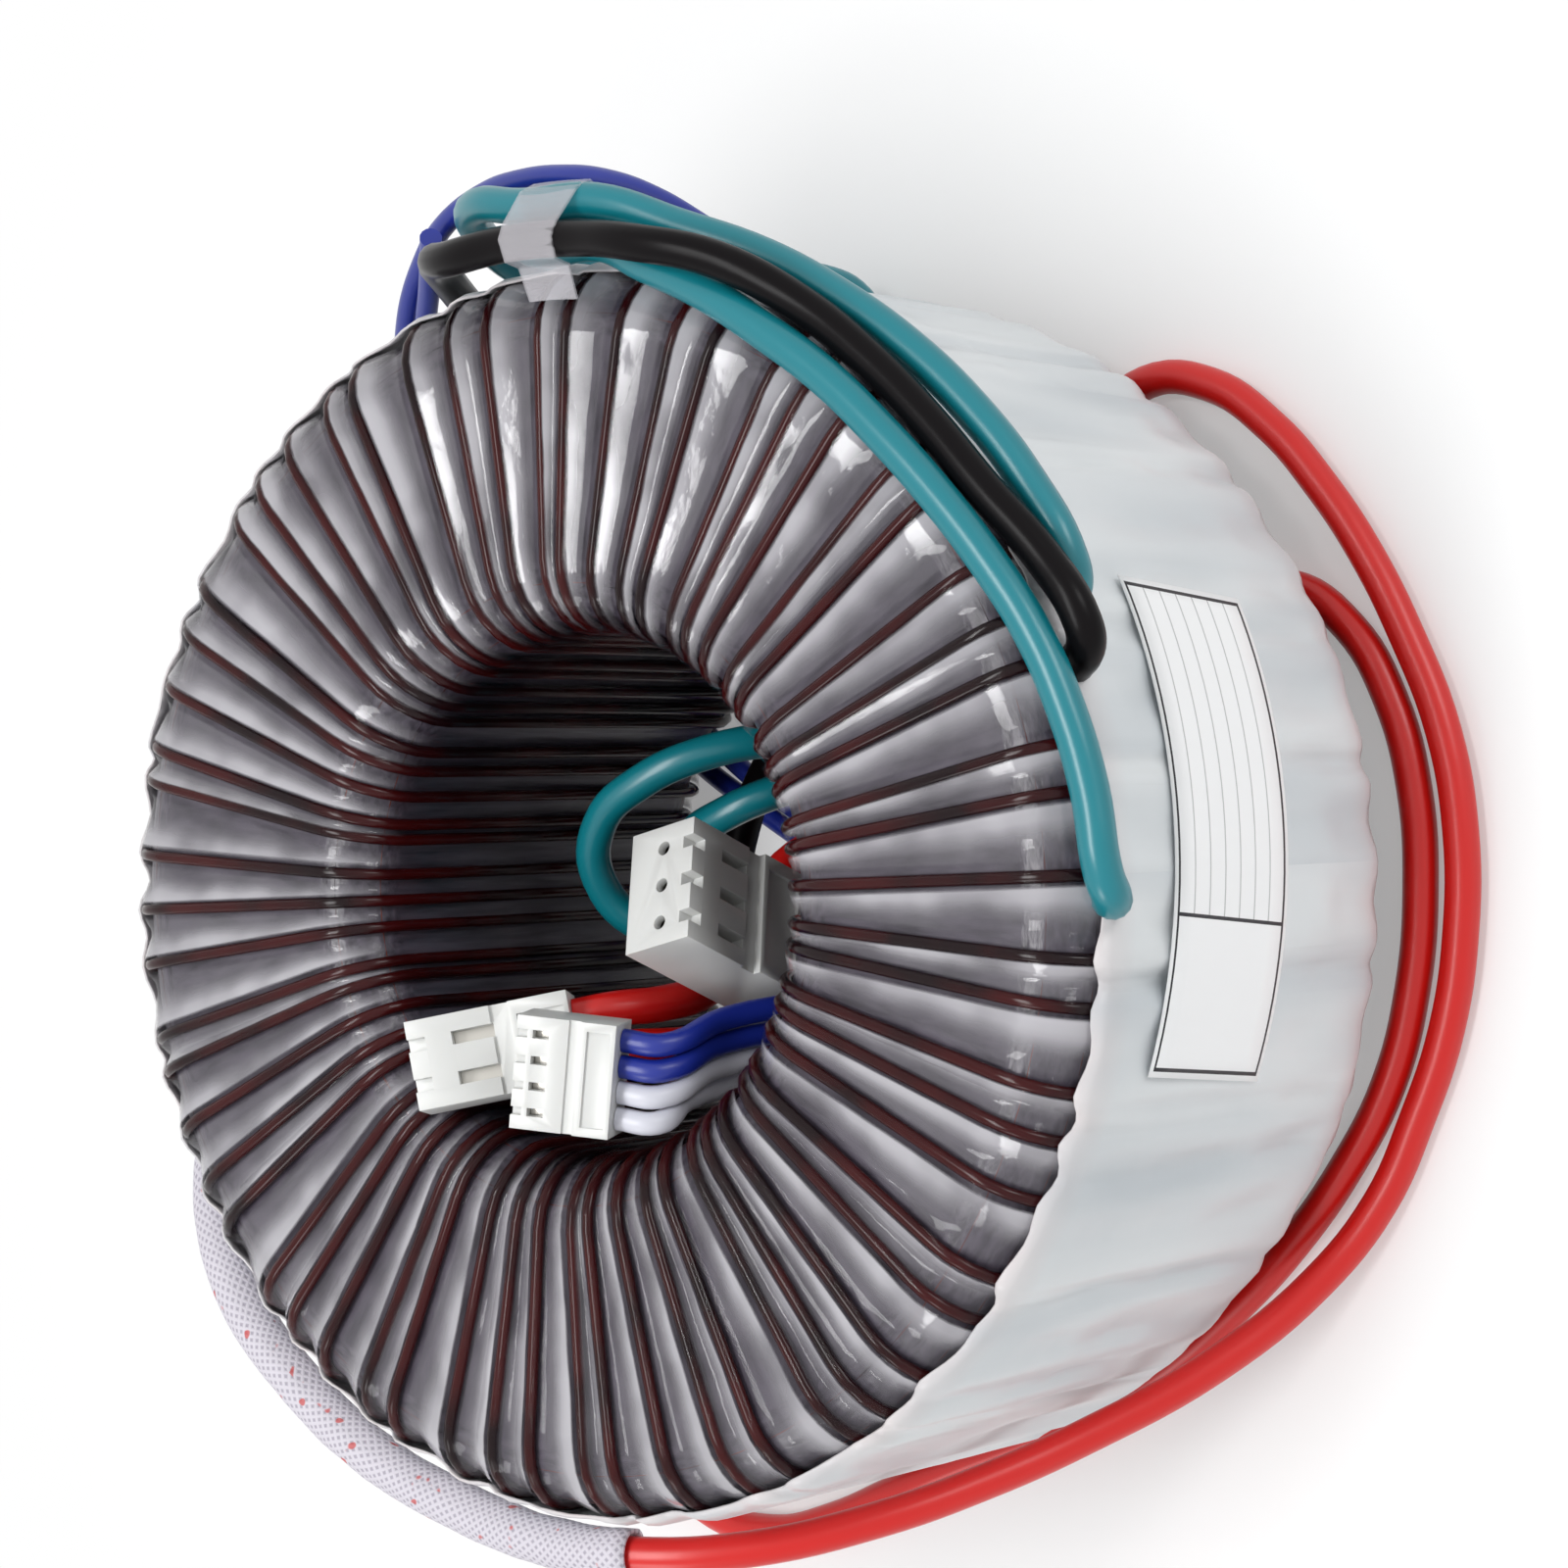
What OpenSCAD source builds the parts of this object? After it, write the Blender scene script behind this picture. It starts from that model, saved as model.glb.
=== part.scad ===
// Toroidal mains transformer with one primary, three secondaries and nine flying leads.
// The frame's origin is the centre of the core, +Z is the axis of the ring, and the ring lies flat.
// Sizes are in millimetres.

/* [Core] */
// Outside diameter of the wound steel core
core_od = 110; // [90:1:130]
// Inside diameter of the wound steel core
core_id = 69; // [60:1:80]
// Height of the core
core_h = 43; // [30:1:60]
// Thickness of the wrap round the bare core
core_wrap_t = 0.8; // [0.4:0.1:1.5]

/* [Windings] */
// Build of the primary on the outside wall of the ring
primary_outer_t = 1.5; // [1:0.1:2.5]
// Build of the primary on the flat faces
primary_face_t = 2; // [1.2:0.1:3]
// Build of the primary inside the hole, where the turns pile up
primary_inner_t = 3; // [2:0.1:4]
// Build of the inner secondary on the outside wall of the ring
secondary_outer_t = 1.7; // [1:0.1:2.5]
// Build of the inner secondary on the flat faces
secondary_face_t = 2.2; // [1.2:0.1:3]
// Build of the inner secondary inside the hole
secondary_inner_t = 3.2; // [2:0.1:4]
// Thickness of the wrap over each inner winding
layer_wrap_t = 0.5; // [0.2:0.1:1]
// Turns of the outer secondary, which shows through the film
turns = 60; // [40:1:66]
// Diameter of its enamelled wire
wire_d = 1.2; // [0.8:0.1:1.3]

/* [Film, band and label] */
// Thickness of the clear film wrap
film_t = 0.3; // [0.2:0.05:0.5]
// How far the film dips between two turns
film_sag = 0.5; // [0.2:0.05:0.8]
// Thickness of the white band on the outside wall
band_t = 0.4; // [0.2:0.05:0.8]
// How far the band dips between two turns
band_sag = 0.35; // [0.1:0.05:0.6]
// Length of the label, measured straight across
label_l = 46; // [30:1:60]
// Height of the label
label_h = 20; // [12:1:30]
// Thickness of the label
label_t = 0.15; // [0.1:0.05:0.3]

/* [Leads] */
// Diameter of the mains and main output leads
thick_lead_d = 3.6; // [3:0.1:3.8]
// Diameter of the low voltage leads
thin_lead_d = 2.3; // [1.8:0.1:2.4]
// Diameter of the braided sleeve over the first red lead
sleeve_d = 5; // [4.6:0.1:5.4]
// Wall of the braided sleeve
sleeve_wall = 0.5; // [0.3:0.05:0.6]
// Thickness of the clear tape over the lead bundle
tape_t = 0.25; // [0.15:0.05:0.4]

/* [Plugs] */
// Pole spacing of the two large plugs
large_pitch = 3.96; // [3.5:0.01:5]
// Length of a large housing
large_l = 16.2; // [14:0.1:20]
// Thickness of a large housing
large_t = 8.3; // [7:0.1:10]
// Pole spacing of the small plug
small_pitch = 2.5; // [2:0.05:3]
// Length of the small housing
small_l = 9.8; // [8:0.1:12]
// Thickness of the small housing
small_t = 5.75; // [5:0.05:7]
// Wall of a housing past its first and last pole
housing_end_wall = 0.9; // [0.6:0.1:1.5]

/* [Hidden] */

layer_gap = 0.03;       // gap between the round wires and the wraps that they touch
band_gap = 0.05;        // gap between the film's crests and the band
edge_break = 0.6;       // corner cut of the bare core
pile_up = 0.95;         // how much each inner winding rounds the corner
chamfer_gain = 2 - sqrt(2);   // growth of a 45 degree corner cut for each millimetre of offset
round_fn = 120;

// A ring section is [inner radius, outer radius, half height, corner cut].
function grown(s, inner, face, outer, cut) = [s[0] - inner, s[1] + outer, s[2] + face, s[3] + cut];
function evenly(s, t) = grown(s, t, t, t, t * chamfer_gain);
core_section = [core_id / 2, core_od / 2, core_h / 2, edge_break];
core_wrap_section = evenly(core_section, core_wrap_t);
primary_section = grown(core_wrap_section, primary_inner_t, primary_face_t, primary_outer_t, pile_up);
primary_wrap_section = evenly(primary_section, layer_wrap_t);
secondary_section = grown(primary_wrap_section, secondary_inner_t, secondary_face_t,
    secondary_outer_t, pile_up);
secondary_wrap_section = evenly(secondary_section, layer_wrap_t);
wire_section = evenly(secondary_wrap_section, layer_gap + wire_d / 2);
film_inside = evenly(wire_section, wire_d / 2 + layer_gap);
film_outside = evenly(film_inside, film_t);
band_inside = evenly(film_outside, band_gap);
band_outside = evenly(band_inside, band_t);

// The eight corners of a ring section, from the top of the outside wall round through the hole.
// Each is [share of the way across, height], with the share counted from the hole.
function corners(s) = let (w = s[1] - s[0], c = s[3], z = s[2]) [
    [1, z - c], [1 - c / w, z], [c / w, z], [0, z - c],
    [0, c - z], [c / w, -z], [1 - c / w, -z], [1, c - z]];

// The turns are wound by hand, so their spacing wanders a little but closes after one lap.
first_turn = -90;
function turn_angle(i) = first_turn
    + 360 / turns * (i + 0.18 * sin(i * 360 * 23 / turns) + 0.1 * sin(i * 360 * 10 / turns));
function at(r, a) = [r * cos(a), r * sin(a)];
// The wire runs radially on the top face and steps on to the next turn on the bottom face.
function wound(s, k, a_hole, a_rim) = let (c = corners(s)[k])
    concat(at(s[0], a_hole) * (1 - c[0]) + at(s[1], a_rim) * c[0], [c[1]]);

// A skin stretched over the turns has a crest over each turn and a dip between two.
columns = 2 * turns;
function column_angle(j) = (turn_angle(floor(j / 2)) + turn_angle(ceil(j / 2))) / 2;
function skin_point(s, sag, j, k) =
    wound(evenly(s, j % 2 == 0 ? 0 : -sag), k, column_angle(j), column_angle(k < 4 ? j : j + 2));

function cross_unit(a, b) = let (c = cross(a, b)) c / norm(c);
function unit(v) = v / norm(v);

/* ---- leads ---- */

// Sideways direction of each ring, carried along the route without twist.
function carried(p, i, u) = let (t = unit(p[min(i + 1, len(p) - 1)] - p[max(i - 1, 0)]), v = unit(u - (u * t) * t))
    i == len(p) - 1 ? [[t, v]] : concat([[t, v]], carried(p, i + 1, v));
function rings(p, r, sides) = let (f = carried(p, 0, cross_unit(p[1] - p[0], [0.3, 0.2, 1])))
    [for (i = [0:len(p) - 1]) for (k = [0:sides - 1])
        p[i] + r * (cos(360 * k / sides) * f[i][1] + sin(360 * k / sides) * cross(f[i][0], f[i][1]))];
function walls(n, sides, start, flip) = [for (i = [0:n - 2]) for (k = [0:sides - 1])
    let (a = start + i * sides + k, b = start + i * sides + (k + 1) % sides)
        flip ? [a, b, b + sides, a + sides] : [a, a + sides, b + sides, b]];

lead_sides = 8;
module tube(p, d) {
    n = len(p);
    polyhedron(
        points = rings(p, d / 2, lead_sides),
        faces = concat(
            [[for (k = [0:lead_sides - 1]) k]],
            walls(n, lead_sides, 0, false),
            [[for (k = [lead_sides - 1:-1:0]) (n - 1) * lead_sides + k]]));
}

module hollow_tube(p, d, bore) {
    n = len(p);
    s = lead_sides;
    polyhedron(
        points = concat(rings(p, d / 2, s), rings(p, bore / 2, s)),
        faces = concat(
            walls(n, s, 0, false),
            walls(n, s, n * s, true),
            [for (k = [0:s - 1]) [k, (k + 1) % s, n * s + (k + 1) % s, n * s + k]],
            [for (k = [0:s - 1]) let (a = (n - 1) * s) [a + (k + 1) % s, a + k, a + n * s + k, a + n * s + (k + 1) % s]]));
}

// The ring rests on the thick leads that cross beneath it, so every lead below it lies on one floor.
thick_z = -31;
thin_z = -31.65;

// Plug places: the middle of the mating face, and the turn of the plug about X, Y and Z.
mains_plug_at = [-16.6, 15.8, 31.4];
mains_plug_turn = [35, 0, 11];
output_plug_at = [0.5, -8.5, 22];
output_plug_turn = [90.7, 23, 12.5];
low_voltage_plug_at = [-16.4, 0.8, 33];
low_voltage_plug_turn = [25, 0, -9];

// A point in a plug's own frame, turned and moved to the plug's place.
function turned(p, r) =
    let (x = [p[0], p[1] * cos(r[0]) - p[2] * sin(r[0]), p[1] * sin(r[0]) + p[2] * cos(r[0])])
    let (y = [x[0] * cos(r[1]) + x[2] * sin(r[1]), x[1], x[2] * cos(r[1]) - x[0] * sin(r[1])])
        [y[0] * cos(r[2]) - y[1] * sin(r[2]), y[0] * sin(r[2]) + y[1] * cos(r[2]), y[2]];
plug_gap = 0.05;
// The last two points of a lead: straight into the back of the plug at one pole.
function plug_end(place, turn, l, pole) = [for (back = [4, plug_gap]) place + turned([pole, -l - back, 0], turn)];

red_route_1 = concat([[-21, 61.8, 11], [-31, 57.2, 19], [-41.5, 50.2, 22.5], [-50, 41.5, 23], [-57, 31.5, 22.5],
    [-61.5, 21, 21.5], [-64.2, 10.5, 21], [-65, 0, 20], [-64.5, -10.5, 15], [-62.3, -20, 6.5], [-59.5, -26.8, -2],
    [-56, -33.2, -10], [-49.5, -43, -20], [-42, -50.5, -27.5], [-34.3, -56.3, -30.5], [-25.8, -60.7, thick_z],
    [-16.9, -64.4, thick_z], [-7.5, -66.4, thick_z], [2.5, -66.9, thick_z], [12.5, -65.5, thick_z],
    [22.5, -61.8, thick_z], [31, -57.6, thick_z], [38, -53, thick_z], [44.5, -47.5, thick_z],
    [49.5, -40.5, thick_z], [50.5, -33, thick_z], [46, -26.5, thick_z], [38, -21.5, thick_z],
    [29, -17.5, thick_z], [24.3, -16, thick_z], [19.3, -14.9, -28.8], [13.6, -14.2, -23], [9.5, -12, -16],
    [5.5, -7.5, -9.5], [0.8, -3.4, -2.8], [-5.6, -2.9, 1.6], [-9.9, -3, 8], [-11.2, -2.6, 15]],
    plug_end(mains_plug_at, mains_plug_turn, large_l, large_pitch / 2));
red_route_2 = concat([[-39.5, 50.5, 0], [-43, 49.5, -9], [-49, 48, -18], [-57, 44.5, -25.5], [-65, 38, -30],
    [-71, 30.5, thick_z], [-72.3, 22, thick_z], [-70.3, 13.5, thick_z], [-67, 5.5, thick_z],
    [-63.3, -3.5, thick_z], [-60, -12.5, thick_z], [-56.5, -21.5, thick_z], [-51.5, -30.5, thick_z],
    [-45.5, -38.5, thick_z], [-38.5, -46, thick_z], [-30.7, -52.5, thick_z], [-22.3, -57.7, thick_z],
    [-13, -60.8, thick_z], [-3, -62.2, thick_z], [7, -62, thick_z], [16, -59.8, thick_z],
    [23.5, -55.5, thick_z], [28, -49, thick_z], [27.5, -41.5, thick_z], [23, -34, thick_z],
    [18.5, -28, thick_z], [14, -24.4, thick_z], [8.6, -20.9, -28], [2.4, -18.2, -22], [-4, -15.4, -15.5],
    [-8.8, -11.9, -9.3], [-12.4, -7.8, -3.3], [-14.7, -5, 3], [-15.4, -3.6, 9.5], [-15.4, -3.3, 15.3]],
    plug_end(mains_plug_at, mains_plug_turn, large_l, -large_pitch / 2));
teal_route_1 = concat([[0, -62.6, 27.4], [7.5, -61.9, 28], [14.7, -60.1, 28.5], [21.7, -57.2, 29],
    [28, -53.3, 29.6], [34.6, -48.2, 30.1], [40.6, -42.7, 30.4], [46.2, -36.7, 30.4], [51.1, -30, 30.3],
    [55.7, -22.7, 29.7], [59.4, -14.9, 28.7], [62.2, -8.7, 27.5], [62.8, 0, 27.2], [64.4, 3, 25.2],
    [64.9, 5.2, 20.5], [64.4, 6.5, 13], [64.3, 7, 4], [64.3, 6, -6], [64.4, 4.5, -16], [64.9, 3, -23.5], [63, 1.5, -28.2],
    [57.5, 0.5, thick_z], [48, -1.5, thick_z], [38, -3.5, thick_z], [28.5, -5, thick_z], [21.8, -7.5, -28.8],
    [17.8, -10, -21.5], [15.8, -10, -12], [15, -7.3, -2.5], [13.8, -1.5, 4.5], [11, 5.5, 7.5],
    [7, 11.3, 7.3], [1.2, 13.6, 5], [-3.8, 10.9, 1.2], [-4.6, 5.3, -3], [-3.8, -2, -6.3], [-2.6, -7.3, -3.8]],
    plug_end(output_plug_at, output_plug_turn, large_l, large_pitch));
teal_route_2 = concat([[28, -57.6, 23], [35.6, -53.6, 23.4], [42.6, -48.2, 23.8], [48.9, -41.7, 24.2],
    [54.4, -34.2, 24.6], [59, -26.4, 25.2], [62.6, -18, 26.8], [66.1, -9.2, 28.4], [66.8, 0, 28.6],
    [68.2, 7.5, 26.4], [67.6, 13.5, 20.5], [65, 16.4, 12], [63.5, 17.2, 2], [63.5, 17, -8], [63.8, 16.2, -17],
    [63.9, 15.2, -24.2], [60.2, 13.4, -30.2], [55.5, 12, thick_z], [46, 9.4, thick_z], [36.5, 6.8, thick_z],
    [27.5, 4.2, thick_z], [20.8, 0.8, -28.6], [16.5, -3, -21.5], [12.4, -6, -13], [10.2, -4.3, -5.5],
    [7.6, 1.5, -1.5], [4.6, 7.8, -2.5], [-0.8, 11, -5], [-6.5, 9, -8.2], [-8.8, 2.8, -10.8], [-8.5, -4.2, -9.8],
    [-7.5, -8.8, -3]],
    plug_end(output_plug_at, output_plug_turn, large_l, 0));
black_route = concat([[22.2, -60.9, 26.4], [28.2, -57.3, 26.8], [34.8, -51.7, 27.6], [41.3, -46.2, 27.8],
    [47.5, -40.1, 28], [53.3, -33.2, 28.8], [58.1, -25.7, 31.3], [60.6, -17.4, 33], [62.3, -8.7, 31.7],
    [62.9, 0, 31.3], [62.6, 8.5, 30.2], [63.4, 14.5, 25.5], [62.6, 18.2, 19.5], [60.9, 22, 12],
    [59.4, 25.9, 4], [58.4, 28.1, -5], [58.1, 29.6, -15], [57.8, 30.1, -24.2], [54.7, 28.5, -30.2],
    [50.4, 26.2, thick_z], [41, 21.2, thick_z], [32, 16.6, thick_z], [25, 13.4, thick_z], [20.3, 11.3, -28.4],
    [14.5, 11, -22.5], [6, 12.2, -17.8], [-3.5, 12.2, -15.5], [-12, 8.8, -14.5], [-17.2, 2.5, -13],
    [-17.9, -5, -10], [-15.6, -11.3, -6], [-12.2, -12.3, -0.6]],
    plug_end(output_plug_at, output_plug_turn, large_l, -large_pitch));
blue_route_1 = concat([[60.5, -20.5, 21], [63.5, -17, 22.8], [66.5, -12.5, 23.8], [69, -6.5, 23.8], [70.4, 0, 23],
    [71, 6.5, 21.5], [70.8, 13, 19.5], [69, 20, 17.5], [65.8, 26.8, 14], [61.3, 33.3, 9.5], [56.3, 39, 3.5],
    [52.3, 43.3, -3.5], [48.8, 46.8, -11], [45.6, 49.3, -18.8], [42, 51, -25.3], [37.2, 50.5, -29.8],
    [31.5, 46.7, thin_z], [25.2, 41, thin_z], [19, 34.7, thin_z], [13.6, 28.5, thin_z], [9.2, 22, thin_z],
    [4.8, 15, thin_z], [0, 6.8, thin_z], [-4.5, -0.7, -31.2], [-8.2, -7.2, -29.3], [-11.1, -12.3, -24.5],
    [-13.1, -15.8, -17], [-14.1, -17.3, -8], [-14.1, -17.6, 2], [-14, -16.2, 12], [-15, -13.2, 20]],
    plug_end(low_voltage_plug_at, low_voltage_plug_turn, small_l, small_pitch / 2));
blue_route_2 = concat([[66.9, 18.6, 21.5], [63.3, 24.5, 15.5], [58.8, 31.3, 9], [53.9, 37.2, 2], [50.3, 41.4, -6],
    [48, 44.3, -14], [45.8, 46.7, -21.8], [42.6, 47.3, -27.2], [37, 45, -30.9], [30.5, 40.5, thin_z],
    [23.5, 34, thin_z], [17.5, 28, thin_z], [12.3, 22, thin_z], [7.7, 15, thin_z], [3, 6.5, thin_z],
    [-1, -1.5, -31.2], [-4.9, -8.7, -29.3], [-8.2, -14.2, -24.5], [-10.7, -17.6, -17], [-11.8, -19, -8],
    [-11.8, -19.2, 2], [-11.6, -17.5, 12], [-12.6, -13.9, 20]],
    plug_end(low_voltage_plug_at, low_voltage_plug_turn, small_l, 3 * small_pitch / 2));
white_route_1 = concat([[70.9, 1.6, 19.5], [71.2, 6.5, 15], [68.6, 10.9, 8], [65.3, 12.7, 0], [63.8, 12.8, -8],
    [63.6, 12.1, -16], [64.1, 11, -23.5], [62, 9, -28.7], [57, 7.2, thin_z], [48, 5, thin_z], [38, 3, thin_z],
    [28, 0.6, thin_z], [21.5, -0.4, thin_z], [14.5, -0.5, -30.8], [7.5, -0.7, -29.2], [0.5, -1, -28],
    [-6, -3.2, -26.5], [-12, -7.3, -22], [-16.4, -11.4, -14.5], [-17.8, -13.5, -6], [-18.1, -14.1, 2], [-18.7, -13.7, 12], [-20.2, -10.7, 22.2]],
    plug_end(low_voltage_plug_at, low_voltage_plug_turn, small_l, -3 * small_pitch / 2));
white_route_2 = concat([[68.4, 2.6, 21.2], [68.7, 7, 17], [66.4, 9.7, 10], [64, 10.3, 2], [63.4, 10.1, -7],
    [63.5, 9.3, -16], [64.1, 8.1, -23.5], [62.1, 6.1, -28.6], [57, 4.2, thin_z], [48, 2.2, thin_z], [38, 0.2, thin_z],
    [28, -1.8, thin_z], [21.5, -2.8, thin_z], [14.5, -3, -30.8], [7.5, -3.2, -29.2], [0.5, -3.5, -28],
    [-5.4, -5.8, -26.5], [-10.6, -9.9, -22], [-14.6, -13.9, -14.5], [-16.1, -15.5, -6], [-16.2, -16, 2], [-16.3, -15, 12], [-17.4, -12.4, 20.2]],
    plug_end(low_voltage_plug_at, low_voltage_plug_turn, small_l, -small_pitch / 2));
// The sleeve covers the first red lead up to this many of its points.
sleeve_points = 8;

/* ---- ring modules ---- */

module ring_outline(s) {
    polygon([for (c = corners(s)) [s[0] + (s[1] - s[0]) * c[0], c[1]]]);
}

module ring_shell(outside, inside) {
    rotate_extrude($fn = round_fn)
        difference() {
            ring_outline(outside);
            ring_outline(inside);
        }
}

module core() {
    color("dimgray") rotate_extrude($fn = round_fn) ring_outline(core_section);
}

module core_wrap() {
    color("khaki") ring_shell(core_wrap_section, core_section);
}

module primary_winding() {
    color("sienna") ring_shell(primary_section, core_wrap_section);
}

module primary_wrap() {
    color("lightyellow") ring_shell(primary_wrap_section, primary_section);
}

module secondary_winding() {
    color("chocolate") ring_shell(secondary_section, primary_wrap_section);
}

module secondary_wrap() {
    color("lightgray") ring_shell(secondary_wrap_section, secondary_section);
}

// One continuous wire: eight bends a turn, mitred at each bend.
wire_sides = 6;
mitre = 1 / cos(22.5);
function wire_ring(i, k) =
    let (a_rim = turn_angle(k < 4 ? i : i + 1), centre = wound(wire_section, k, turn_angle(i), a_rim))
    let (along = unit(at(wire_section[1], a_rim) - at(wire_section[0], turn_angle(i))), tilt = 22.5 + 45 * k)
    let (side = [-along[1], along[0], 0], out = [along[0] * cos(tilt), along[1] * cos(tilt), sin(tilt)] * mitre)
        [for (m = [0:wire_sides - 1]) centre
            + wire_d / 2 * (cos(360 * m / wire_sides) * out + sin(360 * m / wire_sides) * side)];

module outer_winding() {
    rings_n = 8 * turns;
    color("maroon")
        polyhedron(
            points = [for (i = [0:turns - 1]) for (k = [0:7]) each wire_ring(i, k)],
            faces = concat(
                [[for (m = [0:wire_sides - 1]) m]],
                walls(rings_n, wire_sides, 0, false),
                [[for (m = [wire_sides - 1:-1:0]) (rings_n - 1) * wire_sides + m]]));
}

module clear_film() {
    function id(j, k, start) = start + (j % columns) * 8 + k;
    function skin_faces(start, flip) = [for (j = [0:columns - 1]) for (k = [0:7])
        let (a = id(j, k, start), d = id(j + 1, k, start))
        let (b = k < 7 ? id(j, k + 1, start) : id(j + 2, 0, start))
        let (c = k < 7 ? id(j + 1, k + 1, start) : id(j + 3, 0, start))
        each (flip ? [[a, c, b], [a, d, c]] : [[a, b, c], [a, c, d]])];
    color("silver", 0.6)
        difference() {
            polyhedron(
                points = [for (j = [0:columns - 1]) for (k = [0:7]) skin_point(film_outside, film_sag, j, k)],
                faces = skin_faces(0, false));
            polyhedron(
                points = [for (j = [0:columns - 1]) for (k = [0:7]) skin_point(film_inside, film_sag, j, k)],
                faces = skin_faces(0, false));
        }
}

// The band covers the outside wall and ends half way round each corner.
module side_band() {
    function band_loop(j, s) =
        let (rim = [for (k = [0:7]) skin_point(s, band_sag, j, k)])
        let (rim_back = [for (k = [0:7]) skin_point(s, band_sag, j + columns - 2, k)])
            [(rim[0] + rim[1]) / 2, rim[0], rim_back[7], (rim_back[7] + rim_back[6]) / 2];
    function band_points(j) = let (o = band_loop(j, band_outside), i = band_loop(j, band_inside))
        concat(o, [i[3], i[2], i[1], i[0]]);
    color("whitesmoke")
        polyhedron(
            points = [for (j = [0:columns - 1]) each band_points(j)],
            faces = [for (j = [0:columns - 1]) for (k = [0:7])
                let (a = j * 8 + k, b = j * 8 + (k + 1) % 8, e = (j + 1) % columns * 8)
                each [[a, e + k, e + (k + 1) % 8], [a, e + (k + 1) % 8, b]]]);
}

label_az = -86.5;
label_z = 4.3;
label_tilt = -5;
label_gap = 0.02;
module label() {
    r = band_outside[1] + label_gap;
    color("white")
        intersection() {
            difference() {
                cylinder(r = r + label_t, h = 2 * label_h, center = true, $fn = round_fn);
                cylinder(r = r, h = 3 * label_h, center = true, $fn = round_fn);
            }
            rotate([0, 0, label_az])
                translate([r, 0, label_z])
                    rotate([label_tilt, 0, 0])
                        cube([r, label_l, label_h], center = true);
        }
}

// A strip of even thickness laid outside a line of points, as a closed outline.
function turn_right(v) = [v[1], -v[0]] / norm(v);
function strip_offset(p, i) =
    let (before = turn_right(p[max(i, 1)] - p[max(i, 1) - 1]))
    let (after = turn_right(p[min(i + 1, len(p) - 1)] - p[min(i, len(p) - 2)]))
        -(before + after) / (1 + before * after);
function strip(p, t) = concat(p, [for (i = [len(p) - 1:-1:0]) p[i] + t * strip_offset(p, i)]);

// Clear tape laid over the three thick leads where they leave the rim.
tape_from = -7;
tape_sweep = 6;
tape_line = [[57.4, film_outside[2] + 0.1], [60.6, 30.7], [61, 32.7], [62.9, 33.5], [64.3, 32.9],
    [67.7, 30.2], [68.6, 28.3], [67.7, 26.4], [band_outside[1] + 0.1, 22.6], [band_outside[1] + 0.1, 20.5]];
module bundle_tape() {
    color("lightcyan", 0.5)
        rotate([0, 0, tape_from])
            rotate_extrude(angle = tape_sweep, $fn = round_fn)
                polygon(strip(tape_line, tape_t));
}

module braided_sleeve() {
    color("snow")
        hollow_tube([for (i = [0:sleeve_points - 1]) red_route_1[i]], sleeve_d, sleeve_d - 2 * sleeve_wall);
}

module red_lead_1() { color("red") tube(red_route_1, thick_lead_d); }
module red_lead_2() { color("red") tube(red_route_2, thick_lead_d); }
module teal_lead_1() { color("teal") tube(teal_route_1, thick_lead_d); }
module teal_lead_2() { color("teal") tube(teal_route_2, thick_lead_d); }
module black_lead() { color("black") tube(black_route, thick_lead_d); }
module blue_lead_1() { color("mediumblue") tube(blue_route_1, thin_lead_d); }
module blue_lead_2() { color("mediumblue") tube(blue_route_2, thin_lead_d); }
module white_lead_1() { color("lightgray") tube(white_route_1, thin_lead_d); }
module white_lead_2() { color("lightgray") tube(white_route_2, thin_lead_d); }

/* ---- plugs ---- */

// Every plug lies with its poles along X, its mating end at y = 0 and its latch side up.
contact_wall = 1;      // wall in front of and behind the terminals
contact_clear = 0.15;  // gap round a terminal in its chamber
function pole_x(poles, pitch, i) = (i - (poles - 1) / 2) * pitch;
function housing_w(poles, pitch) = poles * pitch + housing_end_wall;
function chamber_w(pitch) = pitch * 0.66;
function chamber_t(t) = t * 0.45;
function barrel_d(pitch) = pitch * 0.48;
function pin_d(pitch) = pitch * 0.36;

module housing(poles, pitch, l, t, window) {
    w = housing_w(poles, pitch);
    shoulder_l = l * 0.36;
    difference() {
        union() {
            translate([-w / 2, -l, -t / 2]) cube([w, l, t - t * 0.1]);
            translate([-w / 2, -l, t / 2 - t * 0.1]) cube([w, shoulder_l, t * 0.1]);
            translate([-w / 2, -l * 0.52, t / 2 - t * 0.1]) cube([w, l * 0.52, t * 0.05]);
        }
        for (i = [0:poles - 1])
            translate([pole_x(poles, pitch, i), 0, 0]) {
                translate([-chamber_w(pitch) / 2, contact_wall - l, -chamber_t(t) / 2])
                    cube([chamber_w(pitch), l - 2 * contact_wall, chamber_t(t)]);
                translate([0, 1, 0]) rotate([90, 0, 0]) cylinder(d = pin_d(pitch), h = 1 + 2 * contact_wall, $fn = 24);
                translate([0, 2 * contact_wall - l, 0]) rotate([90, 0, 0])
                    cylinder(d = barrel_d(pitch) + 2 * contact_clear, h = 3 * contact_wall, $fn = 24);
                translate([-pitch * 0.16, -l * 0.11, t * 0.3]) cube([pitch * 0.32, l, t]);
                translate([-window[0] / 2, -window[2] - window[1] / 2, 0]) cube([window[0], window[1], t]);
            }
        translate([-w / 2 + pitch * 0.35, 0.5 - l, t / 2 - t * 0.05]) cube([w - pitch * 0.7, shoulder_l - 1.2, t]);
    }
}

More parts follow.
